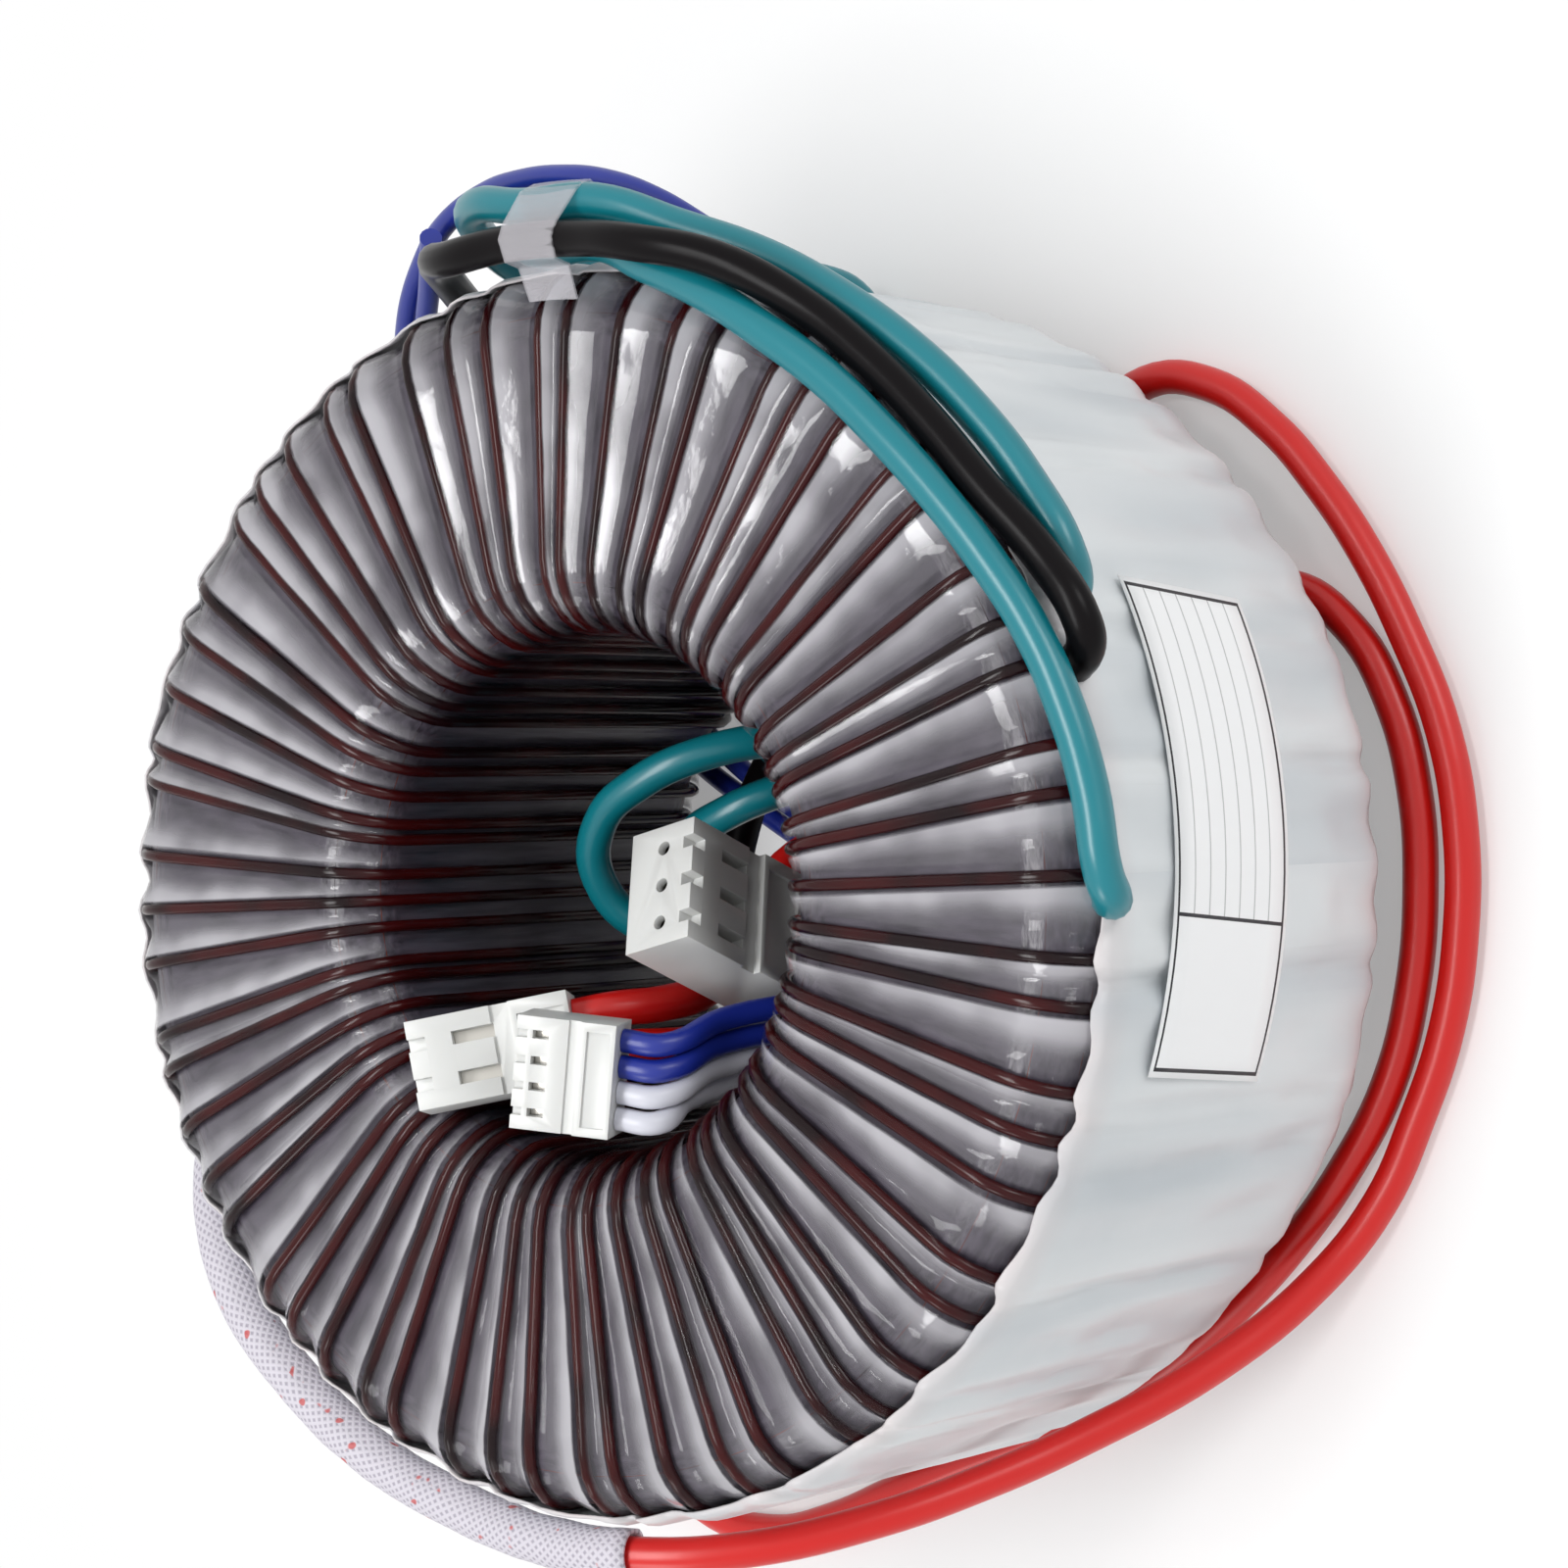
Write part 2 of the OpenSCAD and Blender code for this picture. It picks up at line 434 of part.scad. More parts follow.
module terminals(poles, pitch, l, t) {
    box_w = chamber_w(pitch) - 2 * contact_clear;
    box_t = chamber_t(t) - 2 * contact_clear;
    box_l = l - 2 * contact_wall - 2 * contact_clear;
    color("goldenrod")
        for (i = [0:poles - 1])
            translate([pole_x(poles, pitch, i), -l / 2, 0])
                difference() {
                    union() {
                        cube([box_w, box_l, box_t], center = true);
                        rotate([90, 0, 0]) cylinder(d = barrel_d(pitch), h = l / 2, $fn = 24);
                    }
                    translate([0, box_l / 4, 0]) cube([box_w * 0.6, box_l, box_t * 0.6], center = true);
                }
}

large_window = [1.3, 4.2, 6.5];
small_window = [0.8, 1.6, 2.4];

module mains_plug() {
    color("ivory")
        translate(mains_plug_at) rotate(mains_plug_turn) housing(2, large_pitch, large_l, large_t, large_window);
}

module mains_terminals() {
    translate(mains_plug_at) rotate(mains_plug_turn) terminals(2, large_pitch, large_l, large_t);
}

module output_plug() {
    color("ivory")
        translate(output_plug_at) rotate(output_plug_turn) housing(3, large_pitch, large_l, large_t, large_window);
}

module output_terminals() {
    translate(output_plug_at) rotate(output_plug_turn) terminals(3, large_pitch, large_l, large_t);
}

module low_voltage_plug() {
    color("ivory")
        translate(low_voltage_plug_at) rotate(low_voltage_plug_turn)
            housing(4, small_pitch, small_l, small_t, small_window);
}

module low_voltage_terminals() {
    translate(low_voltage_plug_at) rotate(low_voltage_plug_turn) terminals(4, small_pitch, small_l, small_t);
}

core();
core_wrap();
primary_winding();
primary_wrap();
secondary_winding();
secondary_wrap();
outer_winding();
clear_film();
side_band();
label();
bundle_tape();
braided_sleeve();
red_lead_1();
red_lead_2();
teal_lead_1();
teal_lead_2();
black_lead();
blue_lead_1();
blue_lead_2();
white_lead_1();
white_lead_2();
mains_plug();
mains_terminals();
output_plug();
output_terminals();
low_voltage_plug();
low_voltage_terminals();
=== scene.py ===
"""Looks of a toroidal mains transformer: finishes, windings, film, band, leads and plugs."""

import logging
import math
from dataclasses import dataclass, field
from enum import Enum
from typing import Callable, Sequence

import bpy
from mathutils import Matrix, Vector, geometry, noise


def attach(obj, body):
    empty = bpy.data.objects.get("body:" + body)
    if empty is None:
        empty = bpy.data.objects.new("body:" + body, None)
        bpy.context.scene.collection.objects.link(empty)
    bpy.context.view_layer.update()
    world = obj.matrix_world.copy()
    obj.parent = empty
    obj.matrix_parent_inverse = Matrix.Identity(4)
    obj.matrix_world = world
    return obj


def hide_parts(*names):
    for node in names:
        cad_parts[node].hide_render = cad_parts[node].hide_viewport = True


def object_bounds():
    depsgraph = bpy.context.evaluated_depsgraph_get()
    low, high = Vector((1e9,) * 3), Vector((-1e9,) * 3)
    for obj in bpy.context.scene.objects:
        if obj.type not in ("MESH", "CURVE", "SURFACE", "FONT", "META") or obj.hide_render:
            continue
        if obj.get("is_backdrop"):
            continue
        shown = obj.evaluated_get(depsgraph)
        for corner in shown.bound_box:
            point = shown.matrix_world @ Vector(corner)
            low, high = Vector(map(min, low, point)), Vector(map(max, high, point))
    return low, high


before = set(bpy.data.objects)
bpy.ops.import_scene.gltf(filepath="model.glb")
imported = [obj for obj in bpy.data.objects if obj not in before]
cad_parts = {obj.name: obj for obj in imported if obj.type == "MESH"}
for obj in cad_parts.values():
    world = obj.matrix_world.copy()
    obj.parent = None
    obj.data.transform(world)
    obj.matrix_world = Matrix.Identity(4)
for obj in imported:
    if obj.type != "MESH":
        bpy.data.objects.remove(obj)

LOG = logging.getLogger("transformer")
MM = 0.001
FULL_TURN = 2 * math.pi
Point = tuple[float, float, float]
Stops = Sequence[tuple[float, str]]

# Rigid copies: greatest distance between doubles, and the angles that are flat, rounded and sharp.
COPY_MERGE = 0.003 * MM
FLAT_ANGLE = math.radians(1)
ROUNDED_ANGLE = math.radians(40)
SHARP_ANGLE = math.radians(35)
# Greatest distance between doubles in a new grid and in the wire.
GRID_MERGE = 0.002 * MM
WIRE_MERGE = 0.001 * MM
# Period of Blender's band pattern at a scale of 1.
BAND_PERIOD = 0.314
# Haze of the film from one wire to the next, partly its own haze and partly painted light: painted shade on
# one side of the valley and painted light on the other.
SLOPE_LIGHT_AND_SHADE: Stops = ((0.1, "#8a8a8a"), (0.4, "#a8a8a8"), (0.7, "#f0f0f0"), (0.9, "#ffffff"))
# Haze round the section: little of it on the hole's wall, so that the film there is clear and dark, as
# painted shade in the hole.
SECTION_HOLE_SHADE: Stops = ((0.31, "#ffffff"), (0.375, "#404040"), (0.5, "#404040"), (0.565, "#ffffff"))


# ---- small tools ----------------------------------------------------------


def linear(hex_colour: str) -> tuple[float, float, float, float]:
    """Turn an sRGB hex colour into linear RGBA.

    Args:
        hex_colour: six hex digits after a hash sign.

    Returns:
        The linear colour with an alpha of 1.
    """
    parts = [int(hex_colour[i:i + 2], 16) / 255 for i in (1, 3, 5)]
    rgb = [c / 12.92 if c <= 0.04045 else ((c + 0.055) / 1.055) ** 2.4 for c in parts]
    return (rgb[0], rgb[1], rgb[2], 1.0)


def feed(tree: bpy.types.NodeTree, node: bpy.types.Node, inputs: dict) -> None:
    """Set a node's inputs, or link them.

    Args:
        tree: the node tree that holds the node.
        node: the node.
        inputs: by input name or index, a value, a socket to link from, or a node, for its first output.
    """
    for key, value in inputs.items():
        if isinstance(value, bpy.types.Node):
            value = value.outputs[0]
        if isinstance(value, bpy.types.NodeSocket):
            tree.links.new(value, node.inputs[key])
        else:
            node.inputs[key].default_value = value


def add_node(
    tree: bpy.types.NodeTree, kind: str, inputs: dict | None = None, stops: Stops = (), **settings: object,
) -> bpy.types.Node:
    """Add a shader node with its settings and links.

    Args:
        tree: the material's node tree.
        kind: the node's type without the ShaderNode prefix.
        inputs: as feed takes them.
        stops: position and sRGB hex colour of each stop, for a node with a colour ramp.
        settings: the node's own properties.

    Returns:
        The new node.
    """
    node = tree.nodes.new("ShaderNode" + kind)
    for key, value in settings.items():
        setattr(node, key, value)
    feed(tree, node, inputs or {})
    if stops:
        elements = node.color_ramp.elements
        while len(elements) < len(stops):
            elements.new(0.5)
        for element, (position, colour) in zip(elements, stops):
            element.position = position
            element.color = linear(colour)
    return node


def new_object(name: str, data: bpy.types.ID) -> bpy.types.Object:
    """Put new data in the scene as an object.

    Args:
        name: the object's name.
        data: its mesh, curve, lamp or camera.

    Returns:
        The object.
    """
    obj = bpy.data.objects.new(name, data)
    bpy.context.scene.collection.objects.link(obj)
    return obj


def only(obj: bpy.types.Object) -> None:
    """Make one object the only selected and active one.

    Args:
        obj: the object.
    """
    bpy.ops.object.select_all(action="DESELECT")
    obj.select_set(True)
    bpy.context.view_layer.objects.active = obj


def apply_modifiers(obj: bpy.types.Object) -> None:
    """Apply every modifier of an object in order.

    Args:
        obj: the object.
    """
    only(obj)
    for modifier in list(obj.modifiers):
        bpy.ops.object.modifier_apply(modifier=modifier.name)


def tidy_mesh(obj: bpy.types.Object, merge: float) -> None:
    """Merge doubles and turn the faces outwards.

    Args:
        obj: the object.
        merge: the greatest distance between doubles in metres.
    """
    only(obj)
    bpy.ops.object.mode_set(mode="EDIT")
    bpy.ops.mesh.select_all(action="SELECT")
    bpy.ops.mesh.remove_doubles(threshold=merge)
    bpy.ops.mesh.normals_make_consistent(inside=False)
    bpy.ops.object.mode_set(mode="OBJECT")


def thicken(obj: bpy.types.Object, wall: float, side: int) -> None:
    """Give a sheet its thickness.

    Args:
        obj: the sheet.
        wall: its thickness in metres.
        side: 1 to grow outwards, -1 to grow inwards.
    """
    modifier = obj.modifiers.new("wall", "SOLIDIFY")
    modifier.thickness = wall
    modifier.offset = side
    apply_modifiers(obj)


def shaped_grid(
    name: str,
    columns: int,
    rows: int,
    place: Callable[[float, float], Vector],
    spread: tuple[float, float] = (1.0, 1.0),
) -> bpy.types.Object:
    """Add a grid and lay each of its points by a rule.

    Args:
        name: the object's name.
        columns: faces along the first direction.
        rows: faces along the second direction.
        place: gives a point in metres from two shares between 0 and 1.
        spread: what one whole side of the grid measures in each UV direction.

    Returns:
        The smooth-shaded object, with edges that meet merged.
    """
    bpy.ops.object.select_all(action="DESELECT")
    bpy.ops.mesh.primitive_grid_add(x_subdivisions=columns, y_subdivisions=rows, size=1, calc_uvs=True)
    obj = bpy.context.active_object
    obj.name = name
    obj.data.name = name
    for vertex in obj.data.vertices:
        column = round((vertex.co.x + 0.5) * columns)
        row = round((vertex.co.y + 0.5) * rows)
        vertex.co = place(column / columns, row / rows)
    for loop in obj.data.uv_layers.active.data:
        loop.uv = (loop.uv[0] * spread[0], loop.uv[1] * spread[1])
    tidy_mesh(obj, GRID_MERGE)
    bpy.ops.object.shade_smooth()
    return obj


def copy_of_node(node: str, name: str, bevel: float) -> bpy.types.Object:
    """Copy a rigid node's mesh, merge it and round its edges.

    Args:
        node: the node's name.
        name: the copy's name.
        bevel: width of the edge rounding in metres.

    Returns:
        The finished copy.
    """
    obj = new_object(name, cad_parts[node].data.copy())
    obj.data.name = name
    only(obj)
    bpy.ops.object.mode_set(mode="EDIT")
    bpy.ops.mesh.select_all(action="SELECT")
    bpy.ops.mesh.remove_doubles(threshold=COPY_MERGE)
    bpy.ops.mesh.dissolve_limited(angle_limit=FLAT_ANGLE)
    bpy.ops.object.mode_set(mode="OBJECT")
    rounding = obj.modifiers.new("rounding", "BEVEL")
    rounding.width = bevel
    rounding.segments = 2
    rounding.limit_method = "ANGLE"
    rounding.angle_limit = ROUNDED_ANGLE
    rounding.harden_normals = False
    apply_modifiers(obj)
    bpy.ops.object.shade_smooth_by_angle(angle=SHARP_ANGLE)
    return obj


def dress(obj: bpy.types.Object, material: bpy.types.Material) -> None:
    """Give an object one material all over."""
    obj.data.materials.clear()
    obj.data.materials.append(material)


def settle(obj: bpy.types.Object, material: bpy.types.Material, slot: str, *nodes: str) -> bpy.types.Object:
    """Dress a piece, let it ride on the part and stand for its nodes.

    Args:
        obj: the piece.
        material: its material.
        slot: the record's material slot.
        nodes: the nodes that it replaces.

    Returns:
        The piece.
    """
    dress(obj, material)
    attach(obj, "root")
    if nodes:
        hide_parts(*nodes)
    LOG.info("%s stands for %s", obj.name, ", ".join(nodes) or "nothing")
    return obj


# ---- finishes ---------------------------------------------------------------


@dataclass(frozen=True)
class Finish:
    """A surface finish, made as one material.

    Args:
        name: what the real material is and how it was made.
        colour: main sRGB colour.
        roughness: of the shader.
        ior: refractive index.
    """

    name: str
    colour: str
    roughness: float = 0.4
    ior: float = 1.5

    def shader(self) -> tuple[bpy.types.Material, bpy.types.NodeTree, bpy.types.Node]:
        """Make the material with its shader at its constant values.

        Returns:
            The material, its node tree and its shader.
        """
        material = bpy.data.materials.new(self.name)
        material.use_nodes = True
        tree = material.node_tree
        shader = tree.nodes["Principled BSDF"]
        feed(tree, shader, {"Base Color": linear(self.colour), "Roughness": self.roughness, "IOR": self.ior})
        return material, tree, shader


@dataclass(frozen=True)
class EnamelledCopper(Finish):
    """Drawn copper wire with a baked enamel: dark red-brown, and glossy.

    Args:
        streak: the darkest tone along the wire.
        tone_length: of one change of tone, in millimetres.
    """

    streak: str = "#150405"
    tone_length: float = 11.11

    def build(self) -> bpy.types.Material:
        """Make the enamel, with slow changes of tone along the wire.

        Returns:
            The material.
        """
        material, tree, shader = self.shader()
        spot = add_node(tree, "TexCoord").outputs["Object"]
        tone = add_node(tree, "TexNoise", {
            "Vector": spot, "Scale": 1 / (self.tone_length * MM), "Detail": 2.0})
        colour = add_node(tree, "ValToRGB", {"Fac": tone}, ((0.35, self.streak), (0.6, self.colour)))
        feed(tree, shader, {"Base Color": colour, "Specular IOR Level": 0.2})
        return material


@dataclass(frozen=True)
class StretchedFilm(Finish):
    """Clear polyester film pulled tight over the turns: see-through, with a hard gloss and fine wrinkles.

    Args:
        haze: colour of the film where it hangs free.
        clear: how much it covers over a wire.
        hazy: how much it covers between two wires.
        behind: from and to how far past a wire it turns hazy, in millimetres; the clear strip past the wire's
            edge is painted shade.
        ahead: the same before the next wire.
        blotches: cloudy patches along one turn.
        creases: creases per turn and along one turn.
        gloss: weight of the hard gloss over a wire and between two.
        turns: number of turns beneath it.
    """

    haze: str = "#c2c0c6"
    clear: float = 0.05
    hazy: float = 0.86
    behind: tuple[float, float] = (0.75, 1.25)
    ahead: tuple[float, float] = (0.6, 0.95)
    blotches: tuple[float, float, float] = (0.55, 10.0, 1.0)
    creases: tuple[float, float, float] = (3.1, 38.0, 1.0)
    gloss: tuple[float, float] = (0.12, 0.75)
    turns: int = 60

    def build(self) -> bpy.types.Material:
        """Make the film, hazy between two turns with painted light on one side and painted shade on the
        other, and clear where it touches a wire or lines the hole; the clear strips beside the wires and the
        clear hole are painted shade.

        Returns:
            The material.
        """
        material, tree, shader = self.shader()
        uv = add_node(tree, "UVMap")
        apart = add_node(tree, "SeparateXYZ", {"Vector": uv})
        past = add_node(tree, "Math", {0: apart}, operation="FRACT")
        before = add_node(tree, "Math", {0: 1.0, 1: past}, operation="SUBTRACT")
        spot = add_node(tree, "TexCoord").outputs["Object"]
        flat = add_node(tree, "VectorMath", {0: spot, 1: (1.0, 1.0, 0.0)}, operation="MULTIPLY")
        radius = add_node(tree, "VectorMath", {0: flat}, operation="LENGTH").outputs["Value"]
        spacing = add_node(tree, "Math", {0: radius, 1: FULL_TURN / MM / self.turns}, operation="MULTIPLY")
        # Painted light and painted shade across each gap, from the wire behind to the wire ahead.
        haze_painted_light_and_shade = add_node(tree, "ValToRGB", {"Fac": past}, SLOPE_LIGHT_AND_SHADE)
        # Clear over each wire where the film touches it and, as painted shade, a little past its edges.
        for share, (start, end) in ((past, self.behind), (before, self.ahead)):
            away = add_node(tree, "Math", {0: share, 1: spacing}, operation="MULTIPLY")
            free = add_node(tree, "MapRange", {"Value": away, "From Min": start, "From Max": end})
            haze_painted_light_and_shade = add_node(tree, "Math", {0: haze_painted_light_and_shade, 1: free}, operation="MULTIPLY")
        patch = add_node(tree, "Mapping", {"Vector": uv, "Scale": self.blotches})
        blotch = add_node(tree, "TexNoise", {"Vector": patch, "Scale": 1.0, "Detail": 2.0})
        cloud = add_node(tree, "MapRange", {
            "Value": blotch, "From Min": 0.32, "From Max": 0.62, "To Min": 0.55})
        # Painted shade in the hole: the film turns clear and dark on the hole's wall.
        outside = add_node(tree, "ValToRGB", {"Fac": apart.outputs["Y"]}, SECTION_HOLE_SHADE)
        here = add_node(tree, "Math", {0: haze_painted_light_and_shade, 1: cloud}, operation="MULTIPLY")
        mixed = add_node(tree, "Math", {0: here, 1: outside}, operation="MULTIPLY")
        alpha = add_node(tree, "MapRange", {"Value": mixed, "To Min": self.clear, "To Max": self.hazy})
        colour = add_node(tree, "ValToRGB", {"Fac": mixed}, ((0.05, self.colour), (0.75, self.haze)))
        crease = add_node(tree, "Mapping", {"Vector": uv, "Scale": self.creases})
        ripple = add_node(tree, "TexNoise", {"Vector": crease, "Scale": 1.0, "Detail": 3.0})
        bump = add_node(tree, "Bump", {"Height": ripple, "Strength": 0.35, "Distance": 0.2 * MM})
        coat = add_node(tree, "MapRange", {"Value": haze_painted_light_and_shade, "To Min": self.gloss[0], "To Max": self.gloss[1]})
        feed(tree, shader, {
            "Base Color": colour, "Alpha": alpha, "Normal": bump, "Coat Weight": coat, "Coat IOR": self.ior,
            "Coat Roughness": 0.03})
        return material


@dataclass(frozen=True)
class WrapFilm(Finish):
    """Overlapping turns of polyester tape over a winding: pale, glossy, and a little wrinkled.

    Args:
        overlap: colour of the darker patches, where the tape overlaps.
        wrinkles: number of wrinkles in a third of the way round.
    """

    overlap: str = "#6d6474"
    wrinkles: float = 60.0

    def build(self) -> bpy.types.Material:
        """Make the wrap, with a darker line at each overlap.

        Returns:
            The material.
        """
        material, tree, shader = self.shader()
        uv = add_node(tree, "UVMap")
        wave = add_node(tree, "TexNoise", {"Vector": uv, "Scale": self.wrinkles, "Detail": 4.0})
        colour = add_node(tree, "ValToRGB", {"Fac": wave}, ((0.3, self.overlap), (0.65, self.colour)))
        bump = add_node(tree, "Bump", {"Height": wave, "Strength": 0.4, "Distance": 0.3 * MM})
        feed(tree, shader, {"Base Color": colour, "Normal": bump})
        return material


@dataclass(frozen=True)
class ClothTape(Finish):
    """White non-woven polyester tape: satin, with soft creases along the turns beneath.

    Args:
        shade: painted shade in the creases.
        flush: colour of the wires that show through at the edges.
        creases: per turn of the winding and across the tape.
        edge: from and to what share from the middle line the wires show through.
    """

    shade: str = "#bcc3c8"
    flush: str = "#d9b9b6"
    creases: tuple[float, float, float] = (0.8, 0.9, 1.0)
    edge: tuple[float, float] = (0.4, 0.5)

    def build(self) -> bpy.types.Material:
        """Make the tape, a little pink at its edges, where the wires show through.

        Returns:
            The material.
        """
        material, tree, shader = self.shader()
        uv = add_node(tree, "UVMap")
        stretch = add_node(tree, "Mapping", {"Vector": uv, "Scale": self.creases})
        crease = add_node(tree, "TexNoise", {"Vector": stretch, "Scale": 1.0, "Detail": 1.5})
        # Painted shade: darker where the creases dip.
        colour = add_node(tree, "ValToRGB", {"Fac": crease}, ((0.25, self.shade), (0.6, self.colour)))
        across = add_node(tree, "SeparateXYZ", {"Vector": uv}).outputs["Y"]
        middle = add_node(tree, "Math", {0: across, 1: 0.5}, operation="SUBTRACT")
        reach = add_node(tree, "Math", {0: middle}, operation="ABSOLUTE")
        start, end = self.edge
        near_edge = add_node(tree, "MapRange", {
            "Value": reach, "From Min": start, "From Max": end, "To Max": 0.5})
        patch = add_node(tree, "Math", {0: near_edge, 1: crease}, operation="MULTIPLY")
        tinted = add_node(
            tree, "Mix", {"Factor": patch, 6: colour, 7: linear(self.flush)}, data_type="RGBA").outputs[2]
        bump = add_node(tree, "Bump", {"Height": crease, "Strength": 0.7, "Distance": 3.5 * MM})
        feed(tree, shader, {"Base Color": tinted, "Normal": bump})
        return material


@dataclass(frozen=True)
class RuledPaper(Finish):
    """Printed paper label: matt white, with a thin black frame, one divider, ruled rows and no words.

    Args:
        ink: colour of the lines.
        length: of the label in millimetres, as every size here.
        height: of the label.
        rule: thickness of the frame's line.
        margin: from the label's edge to the frame.
        divider: from one end to the divider.
        rows: number of ruled rows.
        row: spacing of the rows.
    """

    ink: str = "#26252a"
    length: float = 46.0
    height: float = 20.0
    rule: float = 0.35
    margin: float = 0.7
    divider: float = 14.5
    rows: int = 6
    row: float = 2.65

    def build(self) -> bpy.types.Material:
        """Make the paper with its frame; the UV map is in millimetres from one corner.

        Returns:
            The material.
        """
        material, tree, shader = self.shader()
        apart = add_node(tree, "SeparateXYZ", {"Vector": add_node(tree, "UVMap")})
        beyond = []
        for axis, size in (("X", self.length), ("Y", self.height)):
            from_middle = add_node(tree, "Math", {0: apart.outputs[axis], 1: size / 2}, operation="SUBTRACT")
            reach = add_node(tree, "Math", {0: from_middle}, operation="ABSOLUTE")
            beyond.append(add_node(tree, "Math", {0: reach, 1: size / 2 - self.margin}, operation="SUBTRACT"))
        edge = add_node(tree, "Math", {0: beyond[0], 1: beyond[1]}, operation="MAXIMUM")
        inside = add_node(tree, "Math", {0: edge, 1: 0.0}, operation="LESS_THAN")
        ruled = add_node(tree, "Math", {0: apart, 1: self.divider}, operation="GREATER_THAN")
        drawn = add_node(tree, "Math", {0: edge, 1: 0.0, 2: self.rule / 2}, operation="COMPARE")
        rules = [("X", self.divider, self.rule, 1.0)]
        rules += [("Y", self.margin + self.row * (i + 1), self.rule * 0.6, 0.45) for i in range(self.rows)]
        for axis, where, width, weight in rules:
            across = apart.outputs[axis]
            line = add_node(tree, "Math", {0: across, 1: where, 2: width / 2}, operation="COMPARE")
            faint = add_node(tree, "Math", {0: line, 1: weight}, operation="MULTIPLY")
            kept = add_node(tree, "Math", {0: faint, 1: inside}, operation="MULTIPLY")
            if axis == "Y":
                kept = add_node(tree, "Math", {0: kept, 1: ruled}, operation="MULTIPLY")
            drawn = add_node(tree, "Math", {0: drawn, 1: kept}, operation="MAXIMUM")
        colour = add_node(
            tree, "Mix", {"Factor": drawn, 6: linear(self.colour), 7: linear(self.ink)},
            data_type="RGBA").outputs[2]
        feed(tree, shader, {"Base Color": colour})
        return material


@dataclass(frozen=True)
class Rippled(Finish):
    """A finish whose only pattern is a fine relief.

    Args:
        ripple: length of one ripple in millimetres.
        depth: of the relief in millimetres.
        strength: share of that depth that shows.
        detail: of the pattern.
    """

    ripple: float = 4.545
    depth: float = 0.1
    strength: float = 0.12
    detail: float = 2.0

    def build(self) -> bpy.types.Material:
        """Make the material with its relief.

        Returns:
            The material.
        """
        material, tree, shader = self.shader()
        spot = add_node(tree, "TexCoord").outputs["Object"]
        wave = add_node(tree, "TexNoise", {
            "Vector": spot, "Scale": 1 / (self.ripple * MM), "Detail": self.detail})
        bump = add_node(tree, "Bump", {
            "Height": wave, "Strength": self.strength, "Distance": self.depth * MM})
        feed(tree, shader, {"Normal": bump})
        return material


@dataclass(frozen=True)
class ExtrudedPvc(Rippled):
    """Extruded PVC insulation: an even colour with a satin gloss and faint lengthwise waves."""


@dataclass(frozen=True)
class MouldedNylon(Rippled):
    """Injection-moulded nylon: warm off-white, a little see-through, with a fine eggshell surface."""

    ripple: float = 1.111
    depth: float = 0.05
    strength: float = 0.1

    def build(self) -> bpy.types.Material:
        """Make the nylon, with light that spreads beneath its surface.

        Returns:
            The material.
        """
        material = super().build()
        shader = material.node_tree.nodes["Principled BSDF"]
        feed(material.node_tree, shader, {
            "Subsurface Weight": 0.1, "Subsurface Radius": (1.0, 0.9, 0.7), "Subsurface Scale": 0.6 * MM})
        return material


@dataclass(frozen=True)
class ClearTape(Rippled):
    """Clear adhesive tape: see-through with a hard gloss.

    Args:
        cover: how much of what lies beneath it hides.
    """

    ripple: float = 3.846
    depth: float = 0.2
    strength: float = 0.5
    detail: float = 3.0
    cover: float = 0.3

    def build(self) -> bpy.types.Material:
        """Make the tape.

        Returns:
            The material.
        """
        material = super().build()
        feed(material.node_tree, material.node_tree.nodes["Principled BSDF"], {"Alpha": self.cover})
        return material


@dataclass(frozen=True)
class GlassBraid(Finish):
    """Braided glass-fibre sleeving: crossing white strands with a few red tracer threads.

    Args:
        tracer: colour of the tracer threads.
        groove_shade: painted shade between strands.
        strand: width of a strand in millimetres, drawn coarser than the real one so that it shows.
        speck_length: spacing of the tracer's specks in millimetres.
    """

    tracer: str = "#c23a33"
    groove_shade: str = "#a9a4b0"
    strand: float = 0.7
    speck_length: float = 1.818

    def build(self) -> bpy.types.Material:
        """Make the braid; the UV map is in millimetres along and round the sleeve.

        Returns:
            The material.
        """
        material, tree, shader = self.shader()
        uv = add_node(tree, "UVMap")
        waves = []
        for turn in (math.radians(45), math.radians(-45)):
            turned = add_node(tree, "Mapping", {"Vector": uv, "Rotation": (0.0, 0.0, turn)})
            waves.append(add_node(
                tree, "TexWave", {"Vector": turned, "Scale": BAND_PERIOD / self.strand},
                wave_type="BANDS", bands_direction="X").outputs["Fac"])
        height = add_node(tree, "Math", {0: waves[0], 1: waves[1]}, operation="MAXIMUM")
        # Painted shade between the strands.
        colour = add_node(tree, "ValToRGB", {"Fac": height}, ((0.25, self.groove_shade), (0.7, self.colour)))
        speck = add_node(tree, "TexNoise", {"Vector": uv, "Scale": 1 / self.speck_length, "Detail": 1.0})
        marked = add_node(tree, "MapRange", {
            "Value": speck, "From Min": 0.68, "From Max": 0.72, "To Max": 0.8})
        tinted = add_node(
            tree, "Mix", {"Factor": marked, 6: colour, 7: linear(self.tracer)}, data_type="RGBA").outputs[2]
        bump = add_node(tree, "Bump", {"Height": height, "Strength": 0.5, "Distance": 0.15 * MM})
        feed(tree, shader, {"Base Color": tinted, "Normal": bump})
        return material


